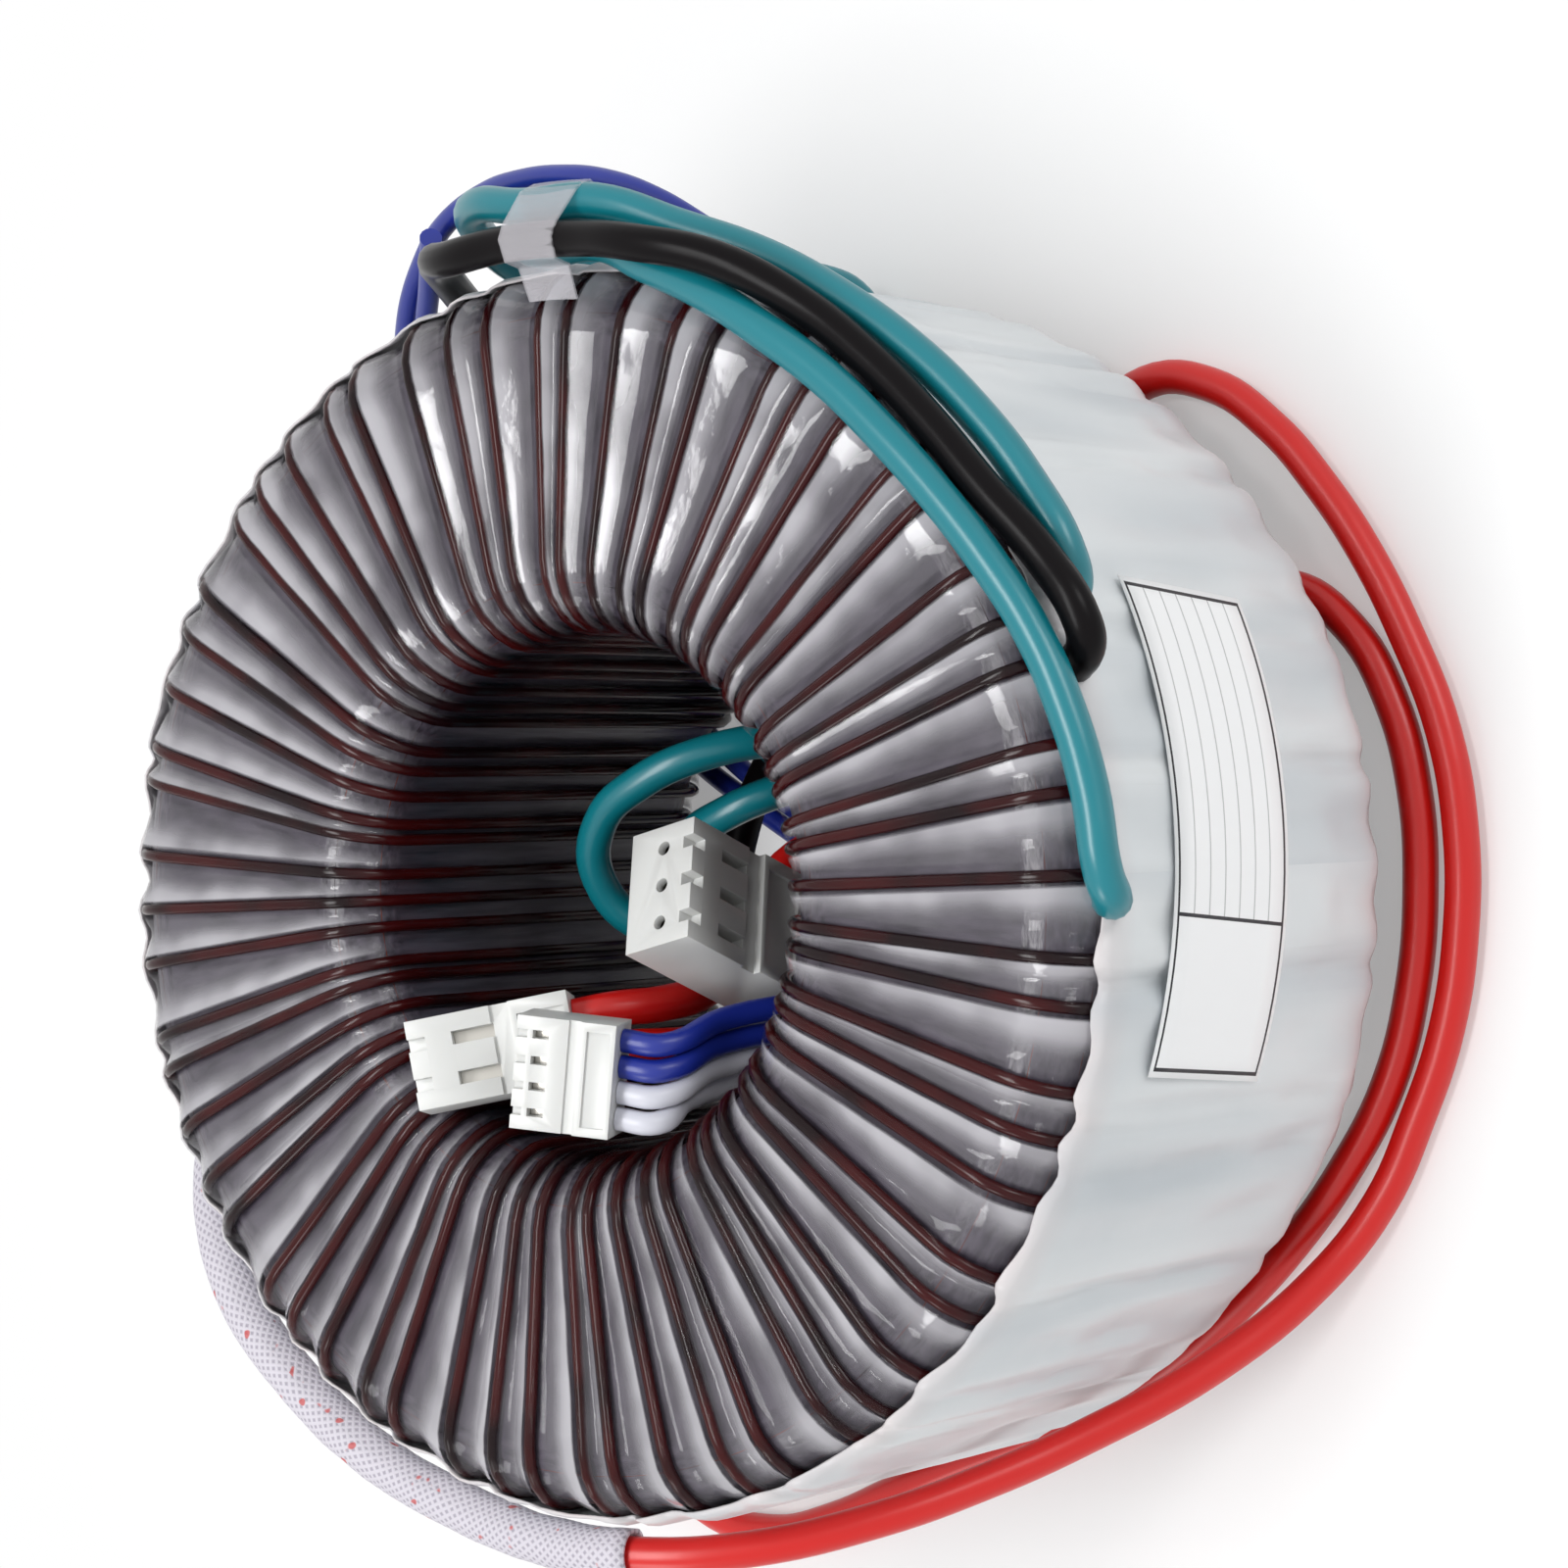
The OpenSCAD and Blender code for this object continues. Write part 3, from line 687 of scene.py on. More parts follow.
@dataclass(frozen=True)
class RolledMetal(Finish):
    """Rolled metal, such as core strip or tinned contacts: fine lines along the rolling direction.

    Args:
        line: width and length of a line in millimetres.
        spread: how much the roughness varies either way.
    """

    line: tuple[float, float] = (2.5, 25.0)
    spread: float = 0.08

    def build(self) -> bpy.types.Material:
        """Make the metal.

        Returns:
            The material.
        """
        material, tree, shader = self.shader()
        spot = add_node(tree, "TexCoord").outputs["Object"]
        across, along = (1 / (size * MM) for size in self.line)
        stretch = add_node(tree, "Mapping", {"Vector": spot, "Scale": (across, across, along)})
        line = add_node(tree, "TexNoise", {"Vector": stretch, "Scale": 1.0, "Detail": 2.0})
        rough = add_node(tree, "MapRange", {
            "Value": line, "To Min": self.roughness - self.spread, "To Max": self.roughness + self.spread})
        feed(tree, shader, {"Metallic": 1.0, "Roughness": rough})
        return material


# ---- shape of the ring --------------------------------------------------------


@dataclass(frozen=True)
class Winding:
    """Where the turns of the outer winding lie.

    Args:
        turns: number of turns.
        first: azimuth of the first turn in degrees.
        wanders: size of each wander, as a share of a gap, and how many there are in one lap.
    """

    turns: int = 60
    first: float = -90.0
    wanders: tuple[tuple[float, int], ...] = ((0.18, 23), (0.1, 10))

    def azimuth(self, turn: float) -> float:
        """Azimuth in radians of a turn, or of a place between two turns.

        Args:
            turn: the turn's number, whole or not.

        Returns:
            The azimuth.
        """
        low = math.floor(turn)
        share = turn - low
        return (1 - share) * self._whole(low) + share * self._whole(low + 1)

    def _whole(self, turn: int) -> float:
        """Azimuth in radians of a whole turn; the hand winding wanders a little.

        Args:
            turn: the turn's number.

        Returns:
            The azimuth.
        """
        lap = turn * FULL_TURN / self.turns
        wander = sum(size * math.sin(times * lap) for size, times in self.wanders)
        return math.radians(self.first + 360 / self.turns * (turn + wander))


@dataclass(frozen=True)
class Section:
    """The section of a layer: a rectangle with round corners, in millimetres.

    Args:
        hole: radius of the hole.
        rim: radius of the rim.
        half: half the height.
        corner: radius of the corners.
    """

    hole: float
    rim: float
    half: float
    corner: float

    def offset(self, by: float) -> "Section":
        """The same section, grown evenly by some millimetres."""
        return Section(self.hole - by, self.rim + by, self.half + by, self.corner + by)

    def loop(self, arc: int, face: int, wall: int) -> list[tuple[float, float, float, float, bool]]:
        """Points once round the section, from the rim's top corner over the top face and down the hole.

        Args:
            arc: steps on each corner.
            face: steps across a flat face.
            wall: steps down the hole or up the rim.

        Returns:
            Radius, height, the outward direction's two parts, and whether it is on the lower half.
        """
        outer, inner, top = self.rim - self.corner, self.hole + self.corner, self.half - self.corner
        centres = [(outer, top), (inner, top), (inner, -top), (outer, -top)]
        points = []
        for index, (radius, height) in enumerate(centres):
            for step in range(arc + 1):
                angle = math.radians(90 * (index + step / arc))
                out = (math.cos(angle), math.sin(angle))
                points.append((radius + self.corner * out[0], height + self.corner * out[1], *out, index > 1))
            here = points[-1]
            radius, height = centres[(index + 1) % 4]
            end = (radius + self.corner * here[2], height + self.corner * here[3])
            steps = face if index % 2 == 0 else wall
            for step in range(1, steps):
                share = step / steps
                points.append((here[0] + share * (end[0] - here[0]), here[1] + share * (end[1] - here[1]),
                               here[2], here[3], index > 1 or (index == 1 and share > 0.5)))
        first = points[0]
        return points + [(first[0], first[1], first[2], first[3], True)]


@dataclass(frozen=True)
class Ring:
    """The ring's layers and the rule that lays a section point on a turn, in millimetres.

    Args:
        winding: where the turns lie.
        wrap: section of the wrap beneath the turns.
        wire_gap: room between wrap and wire.
        wire: diameter of the wire.
        film: thickness of the film.
        film_gap: room between wire and film, and between film and band.
    """

    winding: Winding = Winding()
    wrap: Section = Section(26.5, 60.0, 27.5, 6.07)
    wire_gap: float = 0.06
    wire: float = 1.2
    film: float = 0.1
    film_gap: float = 0.08

    @property
    def wire_line(self) -> Section:
        """Section of the wire's centre line."""
        return self.wrap.offset(self.wire_gap + self.wire / 2)

    @property
    def film_crest(self) -> Section:
        """Section of the film over the top of a turn."""
        return self.wrap.offset(self.wire_gap + self.wire + self.film + self.film_gap)

    def lay(self, section: Section, radius: float, height: float, turn: float, lower: bool) -> Vector:
        """Lay a section point on a turn, which steps on to the next one across the lower face.

        Args:
            section: the section that the point belongs to.
            radius: the point's distance from the axis in millimetres.
            height: the point's height in millimetres.
            turn: which turn, or place between turns.
            lower: whether the point is past the middle of the hole's wall.

        Returns:
            The point in metres.
        """
        share = (radius - section.hole) / (section.rim - section.hole)
        hole = self.winding.azimuth(turn)
        rim = self.winding.azimuth(turn + 1 if lower else turn)
        inner = Vector((math.cos(hole), math.sin(hole), 0)) * section.hole
        outer = Vector((math.cos(rim), math.sin(rim), 0)) * section.rim
        point = inner.lerp(outer, share)
        return Vector((point.x, point.y, height)) * MM


@dataclass
class Coil:
    """The outer winding, its wrap beneath and the clear film over it.

    Args:
        ring: the layers.
        wire_sides: bevel steps on a quarter of the wire.
        columns_per_gap: faces of the film from one turn to the next.
        wrap_columns: faces of the wrap round the ring.
        wire_steps: steps round a turn of the wire, on a corner, a face and a wall.
        wrap_steps: the same for the wrap.
        film_steps: the same for the film.
        crest_half: half the width of the film's ridge on a turn, in millimetres.
        sag_share: how far the film dips, as a share of the distance between two turns.
        sag_most: the deepest dip in millimetres.
        valley: where the valley lies between two turns, as a share, and how far that wanders.
        ripples: of the film, in one metre.
        ripple: height of those ripples in millimetres.
        ripple_on_crest: share of that height on the ridge.
    """

    ring: Ring = field(default_factory=Ring)
    wire_sides: int = 3
    columns_per_gap: int = 8
    wrap_columns: int = 120
    wire_steps: tuple[int, int, int] = (5, 2, 2)
    wrap_steps: tuple[int, int, int] = (6, 2, 2)
    film_steps: tuple[int, int, int] = (6, 12, 8)
    crest_half: float = 0.35
    sag_share: float = 0.2
    sag_most: float = 1.15
    valley: tuple[float, float] = (0.4, 0.12)
    ripples: float = 260.0
    ripple: float = 0.28
    ripple_on_crest: float = 0.25
    enamel: EnamelledCopper = EnamelledCopper("baked_enamel_on_copper", "#3c0807", 0.14)
    wrap: WrapFilm = WrapFilm("polyester_wrap", "#57515d", 0.3, 1.55, "#2c2731")
    film: StretchedFilm = StretchedFilm("stretched_polyester_film", "#3a333f", 0.06, 1.5)

    def wire(self) -> bpy.types.Object:
        """Wind the wire as one curve and make it a mesh.

        Returns:
            The wire.
        """
        section = self.ring.wire_line
        loop = section.loop(*self.wire_steps)[:-1]
        points = [
            self.ring.lay(section, radius, height, turn, lower)
            for turn in range(self.ring.winding.turns) for radius, height, _, _, lower in loop]
        curve = bpy.data.curves.new("outer_winding_wire", "CURVE")
        curve.dimensions = "3D"
        spline = curve.splines.new("POLY")
        spline.points.add(len(points) - 1)
        for target, point in zip(spline.points, points):
            target.co = (*point, 1)
        curve.bevel_depth = self.ring.wire / 2 * MM
        curve.bevel_resolution = self.wire_sides
        curve.use_fill_caps = True
        obj = new_object("outer_winding_wire", curve)
        only(obj)
        bpy.ops.object.convert(target="MESH")
        tidy_mesh(obj, WIRE_MERGE)
        bpy.ops.object.shade_smooth()
        return settle(obj, self.enamel.build(), "copper_enamel", "outer_winding")

    def wrap_layer(self) -> bpy.types.Object:
        """Make the round-cornered wrap beneath the turns.

        Returns:
            The wrap.
        """
        section = self.ring.wrap
        loop = section.loop(*self.wrap_steps)

        def place(u: float, v: float) -> Vector:
            """Give a point of the wrap.

            Args:
                u: share round the ring.
                v: share round the section.

            Returns:
                The point in metres.
            """
            radius, height = loop[round(v * (len(loop) - 1))][:2]
            angle = u * FULL_TURN
            return Vector((radius * math.cos(angle), radius * math.sin(angle), height)) * MM

        obj = shaped_grid("secondary_wrap_layer", self.wrap_columns, len(loop) - 1, place, (3.0, 1.0))
        return settle(obj, self.wrap.build(), "film_wrap", "secondary_wrap")

    def dip(self, share: float, valley: float, spacing: float) -> float:
        """How far the film dips at a place between two turns.

        Args:
            share: place across the gap, from 0 to 1.
            valley: where the deepest line is, from 0 to 1.
            spacing: distance between the two turns in millimetres.

        Returns:
            The dip in millimetres.
        """
        flat = self.crest_half / spacing
        falls = share < valley
        side = share - flat if falls else 1 - flat - share
        reach = valley - flat if falls else 1 - flat - valley
        return max(min(side / reach, 1.0), 0.0) * min(self.sag_share * spacing, self.sag_most)

    def film_skin(self) -> bpy.types.Object:
        """Stretch the film over the turns, with a ridge on each and a valley between.

        Returns:
            The film.
        """
        section = self.ring.film_crest
        loop = section.loop(*self.film_steps)
        turns = self.ring.winding.turns
        last = len(loop) - 1
        lower_from = next(i for i, p in enumerate(loop) if p[4])

        def valley_at(gap: int) -> float:
            """Give the place of a gap's valley."""
            return self.valley[0] + self.valley[1] * math.sin(gap % turns * 2.4)

        def place(u: float, v: float) -> Vector:
            """Give a point of the film.

            Args:
                u: share round the ring.
                v: share round the section.

            Returns:
                The point in metres.
            """
            row = round(v * last)
            radius, height, out_r, out_z, lower = loop[row]
            turn = u * turns
            gap = math.floor(turn + 1e-6)
            step = max(0.0, (row - lower_from) / (last - lower_from))
            valley = (1 - step) * valley_at(gap) + step * valley_at(gap + 1)
            spacing = FULL_TURN * radius / turns
            depth = self.dip(turn - gap, valley, spacing)
            base = self.ring.lay(section, radius, height, turn, lower)
            grain = Vector((base.x, base.y, base.z * 0.6)) * self.ripples
            swell = self.ripple * (1 if depth > 0.05 else self.ripple_on_crest)
            depth += (0.5 + 0.5 * noise.noise(grain)) * swell
            radius -= depth * out_r
            height -= depth * out_z
            return self.ring.lay(section, radius, height, turn, lower)

        around = turns * self.columns_per_gap
        obj = shaped_grid("clear_film_skin", around, last, place, (float(turns), 1.0))
        return settle(obj, self.film.build(), "clear_film", "clear_film")

    def build(self) -> None:
        """Make the wrap, the wire and the film."""
        self.wrap_layer()
        self.wire()
        self.film_skin()


@dataclass
class Band:
    """The white tape round the rim, with the label on it; sizes in millimetres and degrees.

    Args:
        ring: the layers.
        thickness: of the tape.
        edge: how far round the corner the tape reaches on a turn.
        scallop: how much less far it reaches between two turns.
        wander: how far its edge wanders.
        sag: how far it dips between two turns.
        fold: depth of its long creases.
        loosest: most of the sag that any place has.
        faces: faces of the tape on one turn and across.
        label_faces: faces of the label along and across.
        label_azimuth: of the label's middle.
        label_height: of the label's middle.
        label_tilt: of the label's long side.
        label_size: length and height of the label.
        label_radius: from the axis to the label.
        label_thickness: of the label.
    """

    ring: Ring = field(default_factory=Ring)
    thickness: float = 0.25
    edge: float = 32.0
    scallop: float = 8.0
    wander: float = 7.0
    sag: float = 0.85
    fold: float = 0.3
    loosest: float = 0.95
    faces: tuple[int, int] = (6, 30)
    label_faces: tuple[int, int] = (24, 6)
    label_azimuth: float = -86.5
    label_height: float = 4.3
    label_tilt: float = -5.0
    label_size: tuple[float, float] = (46.0, 20.0)
    label_radius: float = 62.12
    label_thickness: float = 0.09
    tape: ClothTape = ClothTape("non_woven_polyester_tape", "#d8dcde", 0.34, 1.48)
    paper: RuledPaper = RuledPaper("printed_paper_label", "#f2f3f4", 0.55, 1.45)

    def surface(self, turn: float, share: float) -> Vector:
        """A point on the tape.

        Args:
            turn: place round the ring in turns.
            share: place across the tape, from its upper edge to its lower edge.

        Returns:
            The point in metres.
        """
        section = self.ring.film_crest.offset(self.ring.film_gap)
        gap = turn - math.floor(turn + 1e-6)
        wave = math.sin(math.pi * gap) ** 2
        turns = self.ring.winding.turns
        stray = noise.noise(Vector((turn * 0.8, 9.0 * round(share), 0.0)))
        reach = self.edge - self.scallop * wave + self.wander * stray
        arc = math.radians(reach) * section.corner
        wall = 2 * (section.half - section.corner)
        along = share * (wall + 2 * arc) - arc
        middle = section.rim - section.corner
        lower = False
        if along < 0:
            angle = -along / section.corner
            height = section.half - section.corner + section.corner * math.sin(angle)
        elif along > wall:
            angle = (along - wall) / section.corner
            height = section.corner - section.half - section.corner * math.sin(angle)
            lower = True
        else:
            angle = 0.0
            height = section.half - section.corner - along
        radius = middle + section.corner * math.cos(angle)
        base = self.ring.lay(section, radius, height, turn - 1 if lower else turn, lower)
        azimuth = turn * FULL_TURN / turns
        lap = Vector((math.cos(azimuth), math.sin(azimuth), 0.03 * height))
        crease = abs(noise.noise(lap * turns * 0.19)) - 0.3
        loose = min(0.6 - noise.noise(lap * 4), self.loosest)
        depth = wave * (self.sag * loose + self.fold * crease)
        push = Vector((base.x, base.y, 0)).normalized() * math.cos(angle)
        push.z = math.copysign(math.sin(angle), height)
        return base - push * depth * MM

    def build(self) -> None:
        """Make the tape and the label."""
        turns = self.ring.winding.turns

        def place(u: float, v: float) -> Vector:
            """Give a point of the tape, from its lower edge up.

            Args:
                u: share round the ring.
                v: share across the tape.

            Returns:
                The point in metres.
            """
            return self.surface(u * turns, 1 - v)

        obj = shaped_grid("side_band_tape", turns * self.faces[0], self.faces[1], place, (float(turns), 1.0))
        thicken(obj, self.thickness * MM, 1)
        settle(obj, self.tape.build(), "white_band", "side_band")
        self.label()

    def label(self) -> bpy.types.Object:
        """Lay the label on the tape.

        Returns:
            The label.
        """
        radius = self.label_radius
        length, height = self.label_size
        tilt = math.radians(self.label_tilt)

        def place(u: float, v: float) -> Vector:
            """Give a point of the label.

            Args:
                u: share along the label.
                v: share across it.

            Returns:
                The point in metres.
            """
            across = (u - 0.5) * length
            up = (v - 0.5) * height
            side = across * math.cos(tilt) - up * math.sin(tilt)
            rise = across * math.sin(tilt) + up * math.cos(tilt)
            angle = math.radians(self.label_azimuth) + math.asin(side / radius)
            return Vector((radius * math.cos(angle), radius * math.sin(angle), self.label_height + rise)) * MM

        obj = shaped_grid("bare_label", *self.label_faces, place, self.label_size)
        thicken(obj, self.label_thickness * MM, -1)
        return settle(obj, self.paper.build(), "label_paper", "label")


# ---- leads ----------------------------------------------------------------------

# Height of the leads that lie beneath the ring.
THICK_Z = -31.0
THIN_Z = -31.65

# Points that each lead passes, in millimetres, from under the film to the back of its plug.
ROUTES: dict[str, tuple[Point, ...]] = {
    "red_lead_1": (
        (-8.2, 59.2, 2.5), (-13.5, 61.4, 6.0), (-21.0, 61.8, 11.0), (-31.0, 57.2, 19.0),
        (-41.5, 50.2, 22.5), (-50.0, 41.5, 23.0), (-57.0, 31.5, 22.5), (-61.5, 21.0, 21.5),
        (-64.2, 10.5, 21.0), (-65.0, 0.0, 20.0), (-64.5, -10.5, 15.0), (-62.3, -20.0, 6.5),
        (-59.5, -26.8, -2.0), (-56.0, -33.2, -10.0), (-49.5, -43.0, -20.0), (-42.0, -50.5, -27.5),
        (-34.3, -56.3, -30.5), (-25.8, -60.7, THICK_Z), (-16.9, -64.4, THICK_Z), (-7.5, -66.4, THICK_Z),
        (2.5, -66.9, THICK_Z), (12.5, -65.5, THICK_Z), (22.5, -61.8, THICK_Z), (31.0, -57.6, THICK_Z),
        (38.0, -53.0, THICK_Z), (44.5, -47.5, THICK_Z), (49.5, -40.5, THICK_Z), (50.5, -33.0, THICK_Z),
        (46.0, -26.5, THICK_Z), (38.0, -21.5, THICK_Z), (29.0, -17.5, THICK_Z), (24.3, -16.0, THICK_Z),
        (19.3, -14.9, -28.8), (13.6, -14.2, -23.0), (9.5, -12.0, -16.0), (5.5, -7.5, -9.5),
        (0.8, -3.4, -2.8), (-5.6, -2.9, 1.6), (-9.9, -3.0, 8.0), (-11.2, -2.6, 15.0), (-11.5, -0.07, 19.81),
        (-12.12, 3.11, 22.08),
    ),
    "red_lead_2": (
        (-36.5, 47.4, 13.5), (-37.8, 49.2, 7.5), (-39.5, 50.5, 0.0), (-43.0, 49.5, -9.0),
        (-49.0, 48.0, -18.0), (-57.0, 44.5, -25.5), (-65.0, 38.0, -30.0), (-71.0, 30.5, THICK_Z),
        (-72.3, 22.0, THICK_Z), (-70.3, 13.5, THICK_Z), (-67.0, 5.5, THICK_Z), (-63.3, -3.5, THICK_Z),
        (-60.0, -12.5, THICK_Z), (-56.5, -21.5, THICK_Z), (-51.5, -30.5, THICK_Z), (-45.5, -38.5, THICK_Z),
        (-38.5, -46.0, THICK_Z), (-30.7, -52.5, THICK_Z), (-22.3, -57.7, THICK_Z), (-13.0, -60.8, THICK_Z),
        (-3.0, -62.2, THICK_Z), (7.0, -62.0, THICK_Z), (16.0, -59.8, THICK_Z), (23.5, -55.5, THICK_Z),
        (28.0, -49.0, THICK_Z), (27.5, -41.5, THICK_Z), (23.0, -34.0, THICK_Z), (18.5, -28.0, THICK_Z),
        (14.0, -24.4, THICK_Z), (8.6, -20.9, -28.0), (2.4, -18.2, -22.0), (-4.0, -15.4, -15.5),
        (-8.8, -11.9, -9.3), (-12.4, -7.8, -3.3), (-14.7, -5.0, 3.0), (-15.4, -3.6, 9.5),
        (-15.4, -3.3, 15.3), (-15.39, -0.82, 19.81), (-16.0, 2.36, 22.08),
    ),
    "teal_lead_1": (
        (-2.2, -60.2, 22.8), (-1.9, -62.4, 25.9), (0.0, -62.6, 27.4), (7.5, -61.9, 28.0),
        (14.7, -60.1, 28.5), (21.7, -57.2, 29.0), (28.0, -53.3, 29.6), (34.6, -48.2, 30.1),
        (40.6, -42.7, 30.4), (46.2, -36.7, 30.4), (51.1, -30.0, 30.3), (55.7, -22.7, 29.7),
        (59.4, -14.9, 28.7), (62.2, -8.7, 27.5), (62.8, 0.0, 27.2), (64.4, 3.0, 25.2), (64.9, 5.2, 20.5),
        (64.4, 6.5, 13.0), (64.3, 7.0, 4.0), (64.3, 6.0, -6.0), (64.4, 4.5, -16.0), (64.9, 3.0, -23.5),
        (63.0, 1.5, -28.2), (57.5, 0.5, THICK_Z), (48.0, -1.5, THICK_Z), (38.0, -3.5, THICK_Z),
        (28.5, -5.0, THICK_Z), (21.8, -7.5, -28.8), (17.8, -10.0, -21.5), (15.8, -10.0, -12.0),
        (15.0, -7.3, -2.5), (13.8, -1.5, 4.5), (11.0, 5.5, 7.5), (7.0, 11.3, 7.3), (1.2, 13.6, 5.0),
        (-3.8, 10.9, 1.2), (-4.6, 5.3, -3.0), (-3.8, -2.0, -6.3), (-2.6, -7.3, -3.8), (-3.7, -9.18, 1.86),
        (-2.18, -8.89, 5.5),
    ),
    "teal_lead_2": (
        (24.0, -54.8, 20.3), (25.8, -57.2, 22.0), (28.0, -57.6, 23.0), (35.6, -53.6, 23.4),
        (42.6, -48.2, 23.8), (48.9, -41.7, 24.2), (54.4, -34.2, 24.6), (59.0, -26.4, 25.2),
        (62.6, -18.0, 26.8), (66.1, -9.2, 28.4), (66.8, 0.0, 28.6), (68.2, 7.5, 26.4), (67.6, 13.5, 20.5),
        (65.0, 16.4, 12.0), (63.5, 17.2, 2.0), (63.5, 17.0, -8.0), (63.8, 16.2, -17.0), (63.9, 15.2, -24.2),
        (60.2, 13.4, -30.2), (55.5, 12.0, THICK_Z), (46.0, 9.4, THICK_Z), (36.5, 6.8, THICK_Z),
        (27.5, 4.2, THICK_Z), (20.8, 0.8, -28.6), (16.5, -3.0, -21.5), (12.4, -6.0, -13.0),
        (10.2, -4.3, -5.5), (7.6, 1.5, -1.5), (4.6, 7.8, -2.5), (-0.8, 11.0, -5.0), (-6.5, 9.0, -8.2),
        (-8.8, 2.8, -10.8), (-8.5, -4.2, -9.8), (-7.5, -8.8, -3.0), (-7.26, -9.97, 3.41),
        (-5.74, -9.68, 7.04),
    ),
    "black_lead": (
        (18.6, -58.0, 23.7), (20.2, -60.5, 25.4), (22.2, -60.9, 26.4), (28.2, -57.3, 26.8),
        (34.8, -51.7, 27.6), (41.3, -46.2, 27.8), (47.5, -40.1, 28.0), (53.3, -33.2, 28.8),
        (58.1, -25.7, 31.3), (60.6, -17.4, 33.0), (62.3, -8.7, 31.7), (62.9, 0.0, 31.3), (62.6, 8.5, 30.2),
        (63.4, 14.5, 25.5), (62.6, 18.2, 19.5), (60.9, 22.0, 12.0), (59.4, 25.9, 4.0), (58.4, 28.1, -5.0),
        (58.1, 29.6, -15.0), (57.8, 30.1, -24.2), (54.7, 28.5, -30.2), (50.4, 26.2, THICK_Z),
        (41.0, 21.2, THICK_Z), (32.0, 16.6, THICK_Z), (25.0, 13.4, THICK_Z), (20.3, 11.3, -28.4),
        (14.5, 11.0, -22.5), (6.0, 12.2, -17.8), (-3.5, 12.2, -15.5), (-12.0, 8.8, -14.5),
        (-17.2, 2.5, -13.0), (-17.9, -5.0, -10.0), (-15.6, -11.3, -6.0), (-12.2, -12.3, -0.6),
        (-10.82, -10.76, 4.95), (-9.3, -10.47, 8.59),
    ),
    "blue_lead_1": (
        (60.5, -20.5, 21.0), (63.5, -17.0, 22.8), (66.5, -12.5, 23.8), (69.0, -6.5, 23.8),
        (70.4, 0.0, 23.0), (71.0, 6.5, 21.5), (70.8, 13.0, 19.5), (69.0, 20.0, 17.5), (65.8, 26.8, 14.0),
        (61.3, 33.3, 9.5), (56.3, 39.0, 3.5), (52.3, 43.3, -3.5), (48.8, 46.8, -11.0), (45.6, 49.3, -18.8),
        (42.0, 51.0, -25.3), (37.2, 50.5, -29.8), (31.5, 46.7, THIN_Z), (25.2, 41.0, THIN_Z),
        (19.0, 34.7, THIN_Z), (13.6, 28.5, THIN_Z), (9.2, 22.0, THIN_Z), (4.8, 15.0, THIN_Z),
        (0.0, 6.8, THIN_Z), (-4.5, -0.7, -31.2), (-8.2, -7.2, -29.3), (-11.1, -12.3, -24.5),
        (-13.1, -15.8, -17.0), (-14.1, -17.3, -8.0), (-14.1, -17.6, 2.0), (-14.0, -16.2, 12.0),
        (-15.0, -13.2, 20.0), (-17.12, -11.75, 27.17), (-16.56, -8.21, 28.84),
    ),
    "blue_lead_2": (
        (66.9, 18.6, 21.5), (63.3, 24.5, 15.5), (58.8, 31.3, 9.0), (53.9, 37.2, 2.0), (50.3, 41.4, -6.0),
        (48.0, 44.3, -14.0), (45.8, 46.7, -21.8), (42.6, 47.3, -27.2), (37.0, 45.0, -30.9),
        (30.5, 40.5, THIN_Z), (23.5, 34.0, THIN_Z), (17.5, 28.0, THIN_Z), (12.3, 22.0, THIN_Z),
        (7.7, 15.0, THIN_Z), (3.0, 6.5, THIN_Z), (-1.0, -1.5, -31.2), (-4.9, -8.7, -29.3),
        (-8.2, -14.2, -24.5), (-10.7, -17.6, -17.0), (-11.8, -19.0, -8.0), (-11.8, -19.2, 2.0),
        (-11.6, -17.5, 12.0), (-12.6, -13.9, 20.0), (-14.65, -12.14, 27.17), (-14.09, -8.6, 28.84),
    ),
    "white_lead_1": (
        (70.9, 1.6, 19.5), (71.2, 6.5, 15.0), (68.6, 10.9, 8.0), (65.3, 12.7, 0.0), (63.8, 12.8, -8.0),
        (63.6, 12.1, -16.0), (64.1, 11.0, -23.5), (62.0, 9.0, -28.7), (57.0, 7.2, THIN_Z),
        (48.0, 5.0, THIN_Z), (38.0, 3.0, THIN_Z), (28.0, 0.6, THIN_Z), (21.5, -0.4, THIN_Z),
        (14.5, -0.5, -30.8), (7.5, -0.7, -29.2), (0.5, -1.0, -28.0), (-6.0, -3.2, -26.5),
        (-12.0, -7.3, -22.0), (-16.4, -11.4, -14.5), (-17.8, -13.5, -6.0), (-18.1, -14.1, 2.0),
        (-18.7, -13.7, 12.0), (-20.2, -10.7, 22.2), (-22.06, -10.97, 27.17), (-21.5, -7.43, 28.84),
    ),
    "white_lead_2": (
        (68.4, 2.6, 21.2), (68.7, 7.0, 17.0), (66.4, 9.7, 10.0), (64.0, 10.3, 2.0), (63.4, 10.1, -7.0),
        (63.5, 9.3, -16.0), (64.1, 8.1, -23.5), (62.1, 6.1, -28.6), (57.0, 4.2, THIN_Z),
        (48.0, 2.2, THIN_Z), (38.0, 0.2, THIN_Z), (28.0, -1.8, THIN_Z), (21.5, -2.8, THIN_Z),
        (14.5, -3.0, -30.8), (7.5, -3.2, -29.2), (0.5, -3.5, -28.0), (-5.4, -5.8, -26.5),
        (-10.6, -9.9, -22.0), (-14.6, -13.9, -14.5), (-16.1, -15.5, -6.0), (-16.2, -16.0, 2.0),
        (-16.3, -15.0, 12.0), (-17.4, -12.4, 20.2), (-19.59, -11.36, 27.17), (-19.03, -7.82, 28.84),
    ),
}

